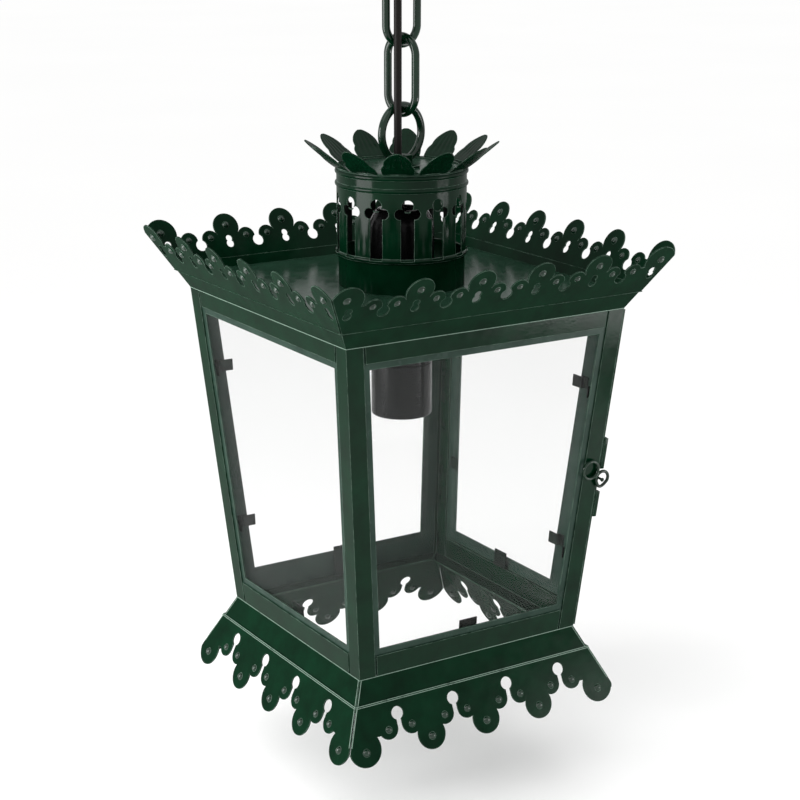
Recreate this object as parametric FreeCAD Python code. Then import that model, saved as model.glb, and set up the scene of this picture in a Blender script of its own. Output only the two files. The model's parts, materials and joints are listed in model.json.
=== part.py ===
import FreeCAD, Part
import math
import os

Vector = FreeCAD.Vector

# A four-sided hanging lantern of folded sheet, 26 cm across its roof gallery.
# Millimetres, +Z up, origin at the ceiling between the two fixing screws.
# The photographed corner points to -X -Y; the door fills the hidden +X side.

# Sheet and wire
SHEET = 1.0
STRIP = 0.9
CHAIN_WIRE = 5.0
CHAIN_GAP = 0.3
CUT_REACH = 6.0
WIRE_SIDES = 10
BEND_STEPS = 8
ARC_STEP = math.radians(42)
DRUM_SIDES = 39
CROWN_SIDES = 48
HOLDER_SIDES = 28
BUSH_SIDES = 14
KEYHOLE_SIDES = 8

# Ceiling fixing
STRAP_LENGTH = 76.0
STRAP_WIDTH = 18.0
STRAP_THICK = 2.0
SCREW_SPACING = 50.0
SCREW_HOLE_R = 2.25
CANOPY_R = 45.0
CANOPY_SIDE = 6.0
CANOPY_FLAT_R = 34.0
CANOPY_DEPTH = 18.0
CANOPY_WALL = 1.2
HOOK_DROP = 50.0
HOOK_BEND_R = 10.0
HOOK_TURN = 93.0
HOOK_OPEN = 70.0
SHANK_CLEAR = 0.1
COLLAR_R = 5.0
COLLAR_HIGH = 7.0

# Chain and ring
LINK_LENGTH = 55.0
LINK_WIDTH = 30.0
UPPER_TURN = 3.0
LOWER_TURN = -75.0
RING_OUTER = 41.5
RING_TURN = 12.0

# Supply cable
CABLE_R = 2.6
CABLE_X = -7.44
CABLE_Y = -7.13
CABLE_BEND_R = 26.0
GROMMET_WALL = 1.0
GROMMET_FLANGE = 0.6
GROMMET_CLEAR = 0.1
CABLE_INSIDE = 4.0
CABLE_STRAIGHT = 3.0

# Crown and chimney
LOOP_WIDTH = 6.0
LOOP_THICK = 1.5
LOOP_SPAN = 11.5
LOOP_FOOT = 7.0
RING_CLEAR = 1.0
CHIMNEY_R = 43.6
CHIMNEY_RISE = 79.0
CHIMNEY_HIGH = 57.0
COLLAR_LAP = 3.0
COLLAR_FIT = 0.1
BEAD_OUT = 1.1
BEAD_HALF = 1.6
BEAD_DROPS = (1.8, 11.3, 55.2)
SLOT_COUNT = 13
SLOT_FIRST = -117.0
SLOT_HALF = 4.35
SLOT_TOP_DROP = 15.0
SLOT_HIGH = 40.0
SLOT_HEAD_R = 3.9
SLOT_SIDE_R = 3.5
SLOT_SIDE_OUT = 5.0
SLOT_SIDE_DROP = 5.3
PETAL_COUNT = 12
PETAL_FIRST = -125.0
PETAL_PROFILE = ((0.4, 0.0), (7.9, 6.4), (12.9, 10.9), (19.4, 17.0))
PETAL_BASE_HALF = 10.4
PETAL_LOBE_R = 8.6
PETAL_SHOULDER_R = 3.4
PETAL_SHOULDER_OUT = 7.8
PETAL_SHOULDER_AT = 5.6
PETAL_SHEET = 0.8

# Glazed body
BODY_HEIGHT = 230.0
BODY_TOP_HALF = 107.0
BODY_BOTTOM_HALF = 87.6
ROOF_RISE = 10.0
ROOF_LIP = 5.6
POST_LEG = 12.3
TOP_RAIL = 11.5
BOTTOM_RAIL = 15.0
RAIL_GAP = 1.5
LEDGE_WIDTH = 12.0
LEDGE_CLEAR = 0.2
FRAME_EDGE = 4.0
FRAME_LIP = 4.5
GLASS_THICK = 2.5
GLASS_LAP = 3.5
CLIP_SHEET = 0.8
CLIP_HIGH = 8.0
CLIP_FOOT = 4.5
CLIP_CLEAR = 0.7
CLIP_HIDDEN = 3.0
CLIP_SHOWN = 8.0
CLIP_LEVELS = (57.0, 173.0)
SILL_CLIP_WIDE = 14.0
SILL_CLIP_RISE = 4.0

# Cornice and gallery
CORNICE_LEAN = 30.5
CORNICE_LAP = 14.2
CORNICE_BAND = 18.6
GALLERY_ENDS = 48.4
GALLERY_PITCH_LEAST = 44.0
GALLERY_LOBE = (27.2, 9.8)
GALLERY_SIDE = (14.2, 18.9, 6.4)
GALLERY_GAP = (14.9, 4.1)
GALLERY_CORNER = (9.25, 25.7, 11.5)
GALLERY_KEYHOLE = ((18.2, 2.4), (14.2, 2.8))
CORNER_KEYHOLE_IN = 3.0

# Skirt
SKIRT_LEAN = 25.5
SKIRT_LAP = 16.3
SKIRT_BAND = 19.5
SKIRT_ENDS = 57.2
SKIRT_PITCH_LEAST = 43.0
SKIRT_LOBE = (29.0, 10.6)
SKIRT_SIDE = (13.0, 18.5, 7.3)
SKIRT_GAP = (10.0, 4.4)
SKIRT_CORNER = (11.3, 27.6, 12.0)
STRIP_MITRE = 0.05

# Door on the +X side
DOOR_SHEET = 1.2
DOOR_GAP = 0.4
DOOR_EDGE = 1.0
DOOR_FRONT = 0.3
DOOR_REAR = 8.0
DOOR_LATCH_STILE = 28.0
DOOR_HINGE_STILE = 13.0
DOOR_TOP_RAIL = 16.0
DOOR_BOTTOM_RAIL = 19.0
DOOR_REBATE = 1.3
DOOR_HINGE_CLIP = 77.0
HINGE_INSET = 5.0
HINGE_OUT = 2.4
KNUCKLE_R = 2.0
PIN_R = 1.0
PIN_CLEAR = 0.05
HINGE_LONG = 30.0
KNUCKLE_LONG = 8.0
KNUCKLE_GAP = 0.3
LEAF = 0.8
DOOR_LEAF_WIDE = 12.0
POST_LEAF_WIDE = 4.6
HINGE_LEVELS = (45.0, 185.0)

# Latch at the front edge of the door
LATCH_LEVEL = 111.0
LATCH_PLATE_LONG = 57.0
LATCH_PLATE_WIDE = 6.0
LATCH_PLATE_THICK = 3.0
LATCH_PLATE_OVER = 0.6
LATCH_LUG_CLEAR = 0.02
LATCH_LUG_THICK = 0.7
LATCH_LUG_HIGH = 5.0
LATCH_WIRE_R = 1.1
LATCH_RING_R = 6.2
LATCH_RING_BACK = 11.8
LATCH_RING_UP = 7.5
LATCH_EYE_BACK = 2.0
LATCH_EYE_R = 5.0
LATCH_TAIL = 9.5
LATCH_STAND = 2.0
LATCH_PIN_R = 1.0
LATCH_PIN_LONG = 4.4
LATCH_HEAD_R = 2.0
LATCH_HEAD = 0.9

# Lampholder
HOLDER_R = 20.85
HOLDER_WALL = 2.2
HOLDER_DROP = 91.3
SLEEVE_HIGH = 37.0
CAP_HIGH = 29.0
CAP_SHOULDER = 8.0
NECK_R = 8.0
NECK_HIGH = 6.0
SHELL_R = 13.3
SHELL_WALL = 0.8
SHELL_HIGH = 28.0
SHELL_RECESS = 4.0
BLOCK_HIGH = 9.0
CONTACT_R = 3.0
CONTACT_DROP = 2.5
CONTACT_CLEAR = 0.5
NIPPLE_R = 5.0
NIPPLE_BORE_R = 3.2
NIPPLE_ABOVE = 22.0
BRIDGE_LONG = 82.0
BRIDGE_WIDE = 14.0
BRIDGE_THICK = 2.0
GRIP_R = 8.0
GRIP_HIGH = 14.0
GRIP_TAPER = 4.0
GRIP_TAPER_IN = 2.5

# Levels that follow from the stack of hook, links, ring and chimney
LINK_PITCH = CHAIN_WIRE + CHAIN_GAP
UPPER_TOP = -HOOK_DROP + LINK_PITCH
UPPER_BOTTOM = UPPER_TOP - (LINK_LENGTH - CHAIN_WIRE)
LOWER_TOP = UPPER_BOTTOM + LINK_PITCH
LOWER_BOTTOM = LOWER_TOP - (LINK_LENGTH - CHAIN_WIRE)
RING_R = (RING_OUTER - CHAIN_WIRE) / 2
RING_Z = LOWER_BOTTOM + LINK_PITCH - RING_R
RING_BOTTOM = RING_Z - RING_R
RING_INNER_R = RING_R - CHAIN_WIRE / 2
RING_RISE = RING_INNER_R - math.sqrt(RING_INNER_R ** 2 - (LOOP_WIDTH / 2) ** 2)
LOOP_UNDER = RING_BOTTOM + CHAIN_WIRE / 2 + CHAIN_GAP + RING_RISE
CAP_TOP = RING_BOTTOM - CHAIN_WIRE / 2 - RING_CLEAR
CHIMNEY_TOP = CAP_TOP - SHEET
CHIMNEY_BOTTOM = CHIMNEY_TOP - CHIMNEY_HIGH
ROOF_TOP = CAP_TOP - CHIMNEY_RISE
BODY_TOP = ROOF_TOP - ROOF_RISE
BODY_BOTTOM = BODY_TOP - BODY_HEIGHT
TAPER = math.atan((BODY_TOP_HALF - BODY_BOTTOM_HALF) / BODY_HEIGHT)
SLOPE = BODY_HEIGHT / math.cos(TAPER)
FRAME_INNER = POST_LEG + FRAME_LIP
GLASS_EDGE = FRAME_INNER - GLASS_LAP
GLASS_FRONT = 2 * SHEET
DOOR_LATCH_INNER = DOOR_LATCH_STILE + FRAME_LIP
DOOR_HINGE_INNER = DOOR_REAR + DOOR_HINGE_STILE + FRAME_LIP
CHIMNEY_WALL = STRIP


def half_at(y):
    """Half width of a glazed side at a distance y up its slope."""
    return BODY_BOTTOM_HALF + y * math.sin(TAPER)


def side_frame(turn, half, z, lean):
    """Frame of a sloping side: X along it, Y up its slope, Z out of it."""
    tilt = FreeCAD.Placement(Vector(0, -half, z), FreeCAD.Rotation(Vector(1, 0, 0), 90 + lean))
    quarter = FreeCAD.Placement(Vector(), FreeCAD.Rotation(Vector(0, 0, 1), 90 * turn))
    return quarter * tilt


def body_frame(turn):
    return side_frame(turn, BODY_BOTTOM_HALF, BODY_BOTTOM, math.degrees(TAPER))


def placed(shape, frame):
    copy = shape.copy()
    copy.Placement = frame * copy.Placement
    return copy


def face_of(points):
    return Part.Face(Part.makePolygon(points + points[:1]))


def plate(points, low, high):
    """A flat sheet with the outline given in X and Y, from Z low to high."""
    outline = [Vector(x, y, low) for x, y in points]
    return face_of(outline).extrude(Vector(0, 0, high - low))


def bar(points, start, end):
    """A folded section given in Y and Z, run along X from start to end."""
    outline = [Vector(start, y, z) for y, z in points]
    return face_of(outline).extrude(Vector(end - start, 0, 0))


def closed_solid(faces):
    shell = Part.makeShell(faces)
    shell.sewShape()
    solid = Part.makeSolid(shell)
    if solid.Volume < 0:
        solid.reverse()
    return solid


def turned(points, sides):
    """A many-sided drum whose section is given as radius and height."""
    rings = []
    for k in range(sides):
        a = 2 * math.pi * (k + 0.5) / sides
        rings.append([Vector(r * math.cos(a), r * math.sin(a), z) for r, z in points])
    faces = []
    for k in range(sides):
        one = rings[k]
        two = rings[(k + 1) % sides]
        for i in range(len(points)):
            j = (i + 1) % len(points)
            corners = [one[i], two[i], two[j], one[j]]
            if points[i][0] == 0:
                corners.pop(1)
            if points[j][0] == 0:
                corners.pop()
            if len(corners) > 2:
                faces.append(face_of(corners))
    return closed_solid(faces)


def rod(radius, low, high, x=0.0, y=0.0):
    return Part.makeCylinder(radius, high - low, Vector(x, y, low))


def polygon(x, y, radius, sides):
    turns = [2 * math.pi * (i + 0.5) / sides for i in range(sides)]
    return [(x + radius * math.cos(a), y + radius * math.sin(a)) for a in turns]


def frustum(half_low, z_low, half_high, z_high):
    rings = []
    for half, z in ((half_low, z_low), (half_high, z_high)):
        corners = [Vector(x * half, y * half, z) for x, y in ((-1, -1), (1, -1), (1, 1), (-1, 1))]
        rings.append(Part.makePolygon(corners + corners[:1]))
    return Part.makeLoft(rings, True, True)


def wire_body(path, out, radius, closed):
    """A round wire along a flat path; out is the normal of the path's plane."""
    count = len(path)
    sections = []
    for i, here in enumerate(path):
        before = path[i - 1] if closed or i else None
        after = path[(i + 1) % count] if closed or i < count - 1 else None
        ways = []
        if before is not None:
            ways.append((here - before).normalize())
        if after is not None:
            ways.append((after - here).normalize())
        along = (ways[0] + ways[-1]).normalize()
        stretch = 1 / along.dot(ways[0])
        across = out.cross(along)
        section = []
        for k in range(WIRE_SIDES):
            a = 2 * math.pi * (k + 0.5) / WIRE_SIDES
            section.append(here + across * (radius * stretch * math.cos(a)) + out * (radius * math.sin(a)))
        sections.append(section)
    faces = []
    for i in range(count if closed else count - 1):
        one = sections[i]
        two = sections[(i + 1) % count]
        for k in range(WIRE_SIDES):
            j = (k + 1) % WIRE_SIDES
            faces.append(face_of([one[k], one[j], two[j], two[k]]))
    if not closed:
        faces += [face_of(sections[0]), face_of(sections[-1])]
    return closed_solid(faces)


def upright(turn, path):
    """Turns a flat path of (across, height) pairs about the hanging axis."""
    a = math.radians(turn)
    return [Vector(s * math.cos(a), s * math.sin(a), z) for s, z in path]


def upright_normal(turn):
    a = math.radians(turn)
    return Vector(-math.sin(a), math.cos(a), 0)


def link_shape(turn, top):
    """A closed oval link whose top wire's centre hangs at the height top."""
    bend = (LINK_WIDTH - CHAIN_WIRE) / 2
    bottom = top - (LINK_LENGTH - CHAIN_WIRE)
    path = []
    for centre, start in ((top - bend, 0), (bottom + bend, math.pi)):
        for i in range(BEND_STEPS + 1):
            a = start + math.pi * i / BEND_STEPS
            path.append((bend * math.cos(a), centre + bend * math.sin(a)))
    return wire_body(upright(turn, path), upright_normal(turn), CHAIN_WIRE / 2, True)


def hanging_ring():
    steps = 3 * BEND_STEPS
    turns = [2 * math.pi * i / steps for i in range(steps)]
    path = [(RING_R * math.cos(a), RING_Z + RING_R * math.sin(a)) for a in turns]
    return wire_body(upright(RING_TURN, path), upright_normal(RING_TURN), CHAIN_WIRE / 2, True)


def ceiling_hook():
    """A straight shank that bends into an open round hook."""
    steps = 3 * BEND_STEPS
    sweep = math.radians(360 - HOOK_OPEN)
    eye = -HOOK_DROP + HOOK_BEND_R
    turns = [math.pi / 2 + sweep * i / steps for i in range(steps + 1)]
    bend = [(HOOK_BEND_R * math.cos(a), eye + HOOK_BEND_R * math.sin(a)) for a in turns]
    path = [(0.0, 0.0)] + bend
    return wire_body(upright(HOOK_TURN, path), upright_normal(HOOK_TURN), CHAIN_WIRE / 2, False)


def ceiling_strap():
    half_x = STRAP_LENGTH / 2
    half_y = STRAP_WIDTH / 2
    outline = [(-half_x, -half_y), (half_x, -half_y), (half_x, half_y), (-half_x, half_y)]
    strap = plate(outline, -STRAP_THICK, 0)
    strap = strap.cut(rod(CHAIN_WIRE / 2 + SHANK_CLEAR, -STRAP_THICK - 1, 1))
    for side in (-1, 1):
        strap = strap.cut(rod(SCREW_HOLE_R, -STRAP_THICK - 1, 1, side * SCREW_SPACING / 2))
    return strap


def ceiling_canopy():
    inner = CANOPY_WALL
    section = [(0, -CANOPY_DEPTH), (CANOPY_FLAT_R, -CANOPY_DEPTH), (CANOPY_R, -CANOPY_SIDE), (CANOPY_R, 0)]
    section += [(CANOPY_R - inner, 0), (CANOPY_R - inner, -CANOPY_SIDE)]
    section += [(CANOPY_FLAT_R - inner / 2, -CANOPY_DEPTH + inner), (0, -CANOPY_DEPTH + inner)]
    dish = turned(section, DRUM_SIDES)
    dish = dish.cut(rod(CHAIN_WIRE / 2 + SHANK_CLEAR, -CANOPY_DEPTH - 1, 0))
    return dish.cut(rod(CABLE_R + GROMMET_CLEAR, -CANOPY_DEPTH - 1, 0, CABLE_X, CABLE_Y))


def canopy_collar():
    top = -CANOPY_DEPTH
    fit = CHAIN_WIRE / 2 + SHANK_CLEAR
    waist = COLLAR_R - 1.2
    section = [(fit, top), (COLLAR_R, top), (COLLAR_R, top - COLLAR_HIGH * 0.6)]
    section += [(waist, top - COLLAR_HIGH), (fit, top - COLLAR_HIGH)]
    return turned(section, BUSH_SIDES)


def grommet_neck_r():
    return CABLE_R + GROMMET_CLEAR + GROMMET_WALL


def grommet(sheet_low, sheet_high):
    """A bush round the cable, with a flange on each face of the sheet."""
    bore = CABLE_R + GROMMET_CLEAR
    neck = grommet_neck_r()
    wide = neck + GROMMET_FLANGE
    low = sheet_low - GROMMET_FLANGE
    high = sheet_high + GROMMET_FLANGE
    section = [(bore, low), (wide, low), (wide, sheet_low), (neck, sheet_low), (neck, sheet_high)]
    section += [(wide, sheet_high), (wide - 0.5, high), (bore, high)]
    bush = turned(section, BUSH_SIDES)
    bush.translate(Vector(CABLE_X, CABLE_Y, 0))
    return bush


def supply_cable():
    """Straight beside the chain, then an easy S bend onto the lampholder's axis."""
    reach = math.hypot(CABLE_X, CABLE_Y)
    side = math.degrees(math.atan2(CABLE_Y, CABLE_X))
    angle = math.acos(1 - reach / (2 * CABLE_BEND_R))
    bend_end = ROOF_TOP + NIPPLE_ABOVE + GRIP_HIGH + CABLE_STRAIGHT
    bend_start = bend_end + 2 * CABLE_BEND_R * math.sin(angle)
    turns = [angle * i / BEND_STEPS for i in range(BEND_STEPS + 1)]
    path = [(reach, -CANOPY_DEPTH + CANOPY_WALL + CABLE_INSIDE)]
    for a in turns:
        path.append((reach - CABLE_BEND_R * (1 - math.cos(a)), bend_start - CABLE_BEND_R * math.sin(a)))
    for a in reversed(turns[:-1]):
        path.append((CABLE_BEND_R * (1 - math.cos(a)), bend_end + CABLE_BEND_R * math.sin(a)))
    path.append((0.0, ROOF_TOP + NIPPLE_ABOVE))
    length = path[0][1] - bend_start + 2 * CABLE_BEND_R * angle + bend_end - path[-1][1]
    print("cable radius", CABLE_R, "bend radius", CABLE_BEND_R, "length", round(length, 1))
    return wire_body(upright(side, path), upright_normal(side), CABLE_R, False)


def hanging_loop():
    """A strip bridge on the cap that the ring's wire passes under."""
    outer = LOOP_SPAN / 2 + LOOP_THICK
    inner = LOOP_SPAN / 2
    foot = outer + LOOP_FOOT
    top = LOOP_UNDER + LOOP_THICK
    low = CAP_TOP
    section = [(-foot, low), (-inner, low), (-inner, LOOP_UNDER), (inner, LOOP_UNDER), (inner, low), (foot, low)]
    section += [(foot, low + LOOP_THICK), (outer, low + LOOP_THICK), (outer, top), (-outer, top)]
    section += [(-outer, low + LOOP_THICK), (-foot, low + LOOP_THICK)]
    strip = bar(section, -LOOP_WIDTH / 2, LOOP_WIDTH / 2)
    return placed(strip, FreeCAD.Placement(Vector(), FreeCAD.Rotation(Vector(0, 0, 1), RING_TURN)))


def cap_disc():
    section = [(0, CAP_TOP - SHEET), (CHIMNEY_R, CAP_TOP - SHEET), (CHIMNEY_R, CAP_TOP), (0, CAP_TOP)]
    disc = turned(section, DRUM_SIDES)
    return disc.cut(rod(grommet_neck_r(), CAP_TOP - CUT_REACH, CAP_TOP + CUT_REACH, CABLE_X, CABLE_Y))


def arc_points(centre, radius, start, end):
    """Points along an arc, without its last one."""
    steps = max(2, math.ceil(abs(end - start) / ARC_STEP))
    turns = [start + (end - start) * i / steps for i in range(steps)]
    return [(centre[0] + radius * math.cos(a), centre[1] + radius * math.sin(a)) for a in turns]


def petal_outline():
    """Plan of one petal along X: straight sides, two shoulders and a round tip."""
    base = CHIMNEY_R + PETAL_PROFILE[0][0]
    tip = CHIMNEY_R + PETAL_PROFILE[-1][0]
    centre = (CHIMNEY_R + PETAL_SHOULDER_AT, PETAL_SHOULDER_OUT)
    shoulder = arc_points(centre, PETAL_SHOULDER_R, math.pi / 2, math.radians(10))
    lobe = arc_points((tip - PETAL_LOBE_R, 0), PETAL_LOBE_R, math.radians(100), 0)
    upper = [(base, PETAL_BASE_HALF)] + shoulder + lobe
    lower = [(x, -y) for x, y in reversed(upper)]
    return upper + [(tip, 0)] + lower


def petal_crown():
    """A flared collar cut into petals, on a flat ring that lies on the cap."""
    under = [(CHIMNEY_R + r, z) for r, z in PETAL_PROFILE]
    base = under[0][0]
    high = under[-1][1] + CUT_REACH
    upper = [(r, z + PETAL_SHEET * 1.25) for r, z in reversed(under[1:])]
    inner = base - 2 * PETAL_SHEET
    section = under + upper + [(base - PETAL_SHEET, PETAL_SHEET), (inner, PETAL_SHEET), (inner, 0)]
    flare = turned(section, CROWN_SIDES)
    petals = []
    for i in range(PETAL_COUNT):
        petal = plate(petal_outline(), -1, high)
        petal.rotate(Vector(), Vector(0, 0, 1), PETAL_FIRST + 360 * i / PETAL_COUNT)
        petals.append(petal)
    crown = flare.common(petals[0].fuse(petals[1:]))
    lip = CHIMNEY_R - ROOF_LIP
    rim = base + STRIP / 3
    ring = [(lip, 0), (rim, 0), (rim, PETAL_SHEET), (lip, PETAL_SHEET)]
    crown = crown.fuse(turned(ring, CROWN_SIDES))
    crown.translate(Vector(0, 0, CAP_TOP))
    return crown


def crossing(one, two):
    """The upper crossing of two circles given as (x, y, radius)."""
    dx = two[0] - one[0]
    dy = two[1] - one[1]
    apart = math.hypot(dx, dy)
    along = (apart ** 2 + one[2] ** 2 - two[2] ** 2) / (2 * apart)
    aside = math.sqrt(one[2] ** 2 - along ** 2)
    found = []
    for sign in (-1, 1):
        x = one[0] + (along * dx - sign * aside * dy) / apart
        y = one[1] + (along * dy + sign * aside * dx) / apart
        found.append((x, y))
    return max(found, key=lambda p: p[1])


def angle_on(circle, point):
    return math.atan2(point[1] - circle[1], point[0] - circle[0])


def slot_outline():
    """A ventilation slot with a trefoil head; its base is at height 0."""
    head = (0.0, SLOT_HIGH - SLOT_HEAD_R, SLOT_HEAD_R)
    side = (SLOT_SIDE_OUT, head[1] - SLOT_SIDE_DROP, SLOT_SIDE_R)
    neck = side[1] - math.sqrt(SLOT_SIDE_R ** 2 - (SLOT_SIDE_OUT - SLOT_HALF) ** 2)
    cusp = crossing(side, head)
    right = [(SLOT_HALF, 0.0)]
    right += arc_points(side, side[2], angle_on(side, (SLOT_HALF, neck)), angle_on(side, cusp))
    right += arc_points(head, head[2], angle_on(head, cusp), math.pi / 2)
    left = [(-x, y) for x, y in reversed(right)]
    return right + [(0.0, SLOT_HIGH)] + left


def chimney():
    """A slotted cylinder with three rolled beads."""
    wall = CHIMNEY_R - CHIMNEY_WALL
    section = [(wall, CHIMNEY_BOTTOM), (CHIMNEY_R, CHIMNEY_BOTTOM)]
    for drop in reversed(BEAD_DROPS):
        centre = CHIMNEY_TOP - drop
        crest = CHIMNEY_R + BEAD_OUT
        section += [(CHIMNEY_R, centre - BEAD_HALF), (crest, centre), (CHIMNEY_R, centre + BEAD_HALF)]
    section += [(CHIMNEY_R, CHIMNEY_TOP), (wall, CHIMNEY_TOP)]
    drum = turned(section, DRUM_SIDES)
    base = CHIMNEY_TOP - SLOT_TOP_DROP - SLOT_HIGH
    cutters = []
    for i in range(SLOT_COUNT):
        outline = [Vector(CHIMNEY_R - CUT_REACH, x, base + y) for x, y in slot_outline()]
        cutter = face_of(outline).extrude(Vector(2 * CUT_REACH, 0, 0))
        cutter.rotate(Vector(), Vector(0, 0, 1), SLOT_FIRST + 360 * i / SLOT_COUNT)
        cutters.append(cutter)
    return drum.cut(cutters)


def chimney_collar():
    outer = CHIMNEY_R - CHIMNEY_WALL - COLLAR_FIT
    inner = outer - CHIMNEY_WALL
    top = CHIMNEY_BOTTOM + COLLAR_LAP
    return turned([(inner, ROOF_TOP), (outer, ROOF_TOP), (outer, top), (inner, top)], DRUM_SIDES)


def roof_plate():
    lean = math.tan(math.radians(CORNICE_LEAN))
    inset = SHEET / math.cos(math.radians(CORNICE_LEAN))
    half = BODY_TOP_HALF + (ROOF_RISE - SHEET) * lean - inset
    roof = plate([(-half, -half), (half, -half), (half, half), (-half, half)], ROOF_TOP - SHEET, ROOF_TOP)
    mouth = plate(polygon(0, 0, CHIMNEY_R - ROOF_LIP, DRUM_SIDES), ROOF_TOP - CUT_REACH, ROOF_TOP + CUT_REACH)
    return roof.cut(mouth)


def sloping_band(half, z, slope, lean, up):
    """A four-sided funnel of sheet that leans out from a square edge."""
    a = math.radians(lean)
    grow = slope * math.sin(a)
    end = z + up * slope * math.cos(a)
    inset = SHEET / math.cos(a)
    outer = frustum(half, z, half + grow, end)
    inner = frustum(half - inset, z, half + grow - inset, end)
    return outer.cut(inner)


def joined(one, two, one_is_lobe):
    """Where the outline leaves circle one and meets circle two."""
    dx = two[0] - one[0]
    dy = two[1] - one[1]
    apart = math.hypot(dx, dy)
    reach = one[2] + two[2]
    if apart < reach:
        point = crossing(one, two)
        return angle_on(one, point), angle_on(two, point)
    turn = math.acos(reach / apart)
    leave = math.atan2(dy, dx) + (turn if one_is_lobe else -turn)
    return leave, leave + math.pi


def scallop_outline(base_half, spread, circles):
    """A strip's outline: a straight lower edge, mitred ends and a row of lobes and gaps.

    circles runs from left to right as (x, y, radius, is_lobe); spread is how far
    the mitre moves out for each millimetre up the strip.
    """
    base_half = base_half - STRIP_MITRE
    first = circles[0]
    squared = 1 + spread ** 2
    offset = base_half + first[0]
    linear = spread * offset - first[1]
    constant = offset ** 2 + first[1] ** 2 - first[2] ** 2
    corner_y = (-linear + math.sqrt(linear ** 2 - squared * constant)) / squared
    corner = (-(base_half + spread * corner_y), corner_y)
    starts = [angle_on(first, corner)]
    ends = []
    for one, two in zip(circles, circles[1:]):
        leave, meet = joined(one, two, one[3])
        ends.append(leave)
        starts.append(meet)
    last = circles[-1]
    ends.append(angle_on(last, (-corner[0], corner_y)))
    points = [(-base_half, 0.0)]
    for circle, start, end in zip(circles, starts, ends):
        while circle[3] and end > start:
            end -= 2 * math.pi
        while circle[3] and end < start - 2 * math.pi:
            end += 2 * math.pi
        while not circle[3] and end < start:
            end += 2 * math.pi
        while not circle[3] and end > start + 2 * math.pi:
            end -= 2 * math.pi
        points += arc_points(circle, circle[2], start, end)
        points.append((circle[0] + circle[2] * math.cos(end), circle[1] + circle[2] * math.sin(end)))
    return points + [(base_half, 0.0)]


def scallop_units(half, ends, pitch_least):
    """How many whole scallops fit between a strip's two ends."""
    return int((2 * half - ends) // pitch_least)


def scallop_circles(half, spread, units, ends, lobe, side, gap, corner):
    """Lobes and gaps of one strip from its left corner to its right one."""
    pitch = (2 * half - ends) / units
    edge = units * pitch / 2
    small_x = edge + pitch / 2 - side[0]
    corner_x = half + spread * corner[1] - corner[0]
    left = [(-corner_x, corner[1], corner[2], True), (-small_x, side[1], side[2], True)]
    row = []
    for i in range(units):
        centre = -edge + (i + 0.5) * pitch
        row.append((centre - pitch / 2, gap[0], gap[1], False))
        row.append((centre - side[0], side[1], side[2], True))
        row.append((centre, lobe[0], lobe[1], True))
        row.append((centre + side[0], side[1], side[2], True))
    row.append((edge, gap[0], gap[1], False))
    right = [(small_x, side[1], side[2], True), (corner_x, corner[1], corner[2], True)]
    return left + row + right


def gallery_strip(turn):
    """A pierced and scalloped strip lapped on the outside of the cornice band."""
    a = math.radians(CORNICE_LEAN)
    half = BODY_TOP_HALF + CORNICE_LAP * math.sin(a)
    rise = CORNICE_LAP * math.cos(a)
    spread = math.sin(a)
    units = scallop_units(half, GALLERY_ENDS, GALLERY_PITCH_LEAST)
    circles = scallop_circles(
        half, spread, units, GALLERY_ENDS, GALLERY_LOBE, GALLERY_SIDE, GALLERY_GAP, GALLERY_CORNER
    )
    strip = plate(scallop_outline(half, spread, circles), 0, STRIP)
    pitch = (2 * half - GALLERY_ENDS) / units
    centres = [(i - (units - 1) / 2) * pitch for i in range(units)]
    centres += [circles[0][0] + CORNER_KEYHOLE_IN, circles[-1][0] - CORNER_KEYHOLE_IN]
    holes = []
    for x in centres:
        for y, radius in GALLERY_KEYHOLE:
            holes.append(plate(polygon(x, y, radius, KEYHOLE_SIDES), -STRIP, 2 * STRIP))
    strip = strip.cut(holes)
    return placed(strip, side_frame(turn, half, BODY_TOP + rise, CORNICE_LEAN))


def skirt_strip(turn):
    """A scalloped strip that hangs outside the skirt band."""
    a = math.radians(SKIRT_LEAN)
    half = BODY_BOTTOM_HALF + SKIRT_LAP * math.sin(a)
    fall = SKIRT_LAP * math.cos(a)
    spread = math.sin(a)
    units = scallop_units(half, SKIRT_ENDS, SKIRT_PITCH_LEAST)
    circles = scallop_circles(
        half, spread, units, SKIRT_ENDS, SKIRT_LOBE, SKIRT_SIDE, SKIRT_GAP, SKIRT_CORNER
    )
    hanging = [(x, -y) for x, y in scallop_outline(half, spread, circles)]
    return placed(plate(hanging, 0, STRIP), side_frame(turn, half, BODY_BOTTOM - fall, -SKIRT_LEAN))


def corner_post(sign_x, sign_y):
    """A plain angle that follows the body's taper."""
    leg = [(0, 0), (POST_LEG, 0), (POST_LEG, SHEET), (SHEET, SHEET), (SHEET, POST_LEG), (0, POST_LEG)]
    outline = []
    for x, y in leg:
        outline.append(Vector(sign_x * (BODY_BOTTOM_HALF - x), sign_y * (BODY_BOTTOM_HALF - y), BODY_BOTTOM))
    out = BODY_TOP_HALF - BODY_BOTTOM_HALF
    return face_of(outline).extrude(Vector(sign_x * out, sign_y * out, BODY_HEIGHT))


def trapezoid(low, high, left, right):
    """An outline on a tapering side; left and right are insets from its edges."""
    return [
        (left - half_at(low), low),
        (half_at(low) - right, low),
        (half_at(high) - right, high),
        (left - half_at(high), high),
    ]


def top_rail(turn):
    """A flat rail between the posts, a small gap short of them."""
    inset = POST_LEG + RAIL_GAP
    outline = trapezoid(SLOPE - TOP_RAIL, SLOPE - LEDGE_CLEAR, inset, inset)
    return placed(plate(outline, -SHEET, 0), body_frame(turn))


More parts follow.
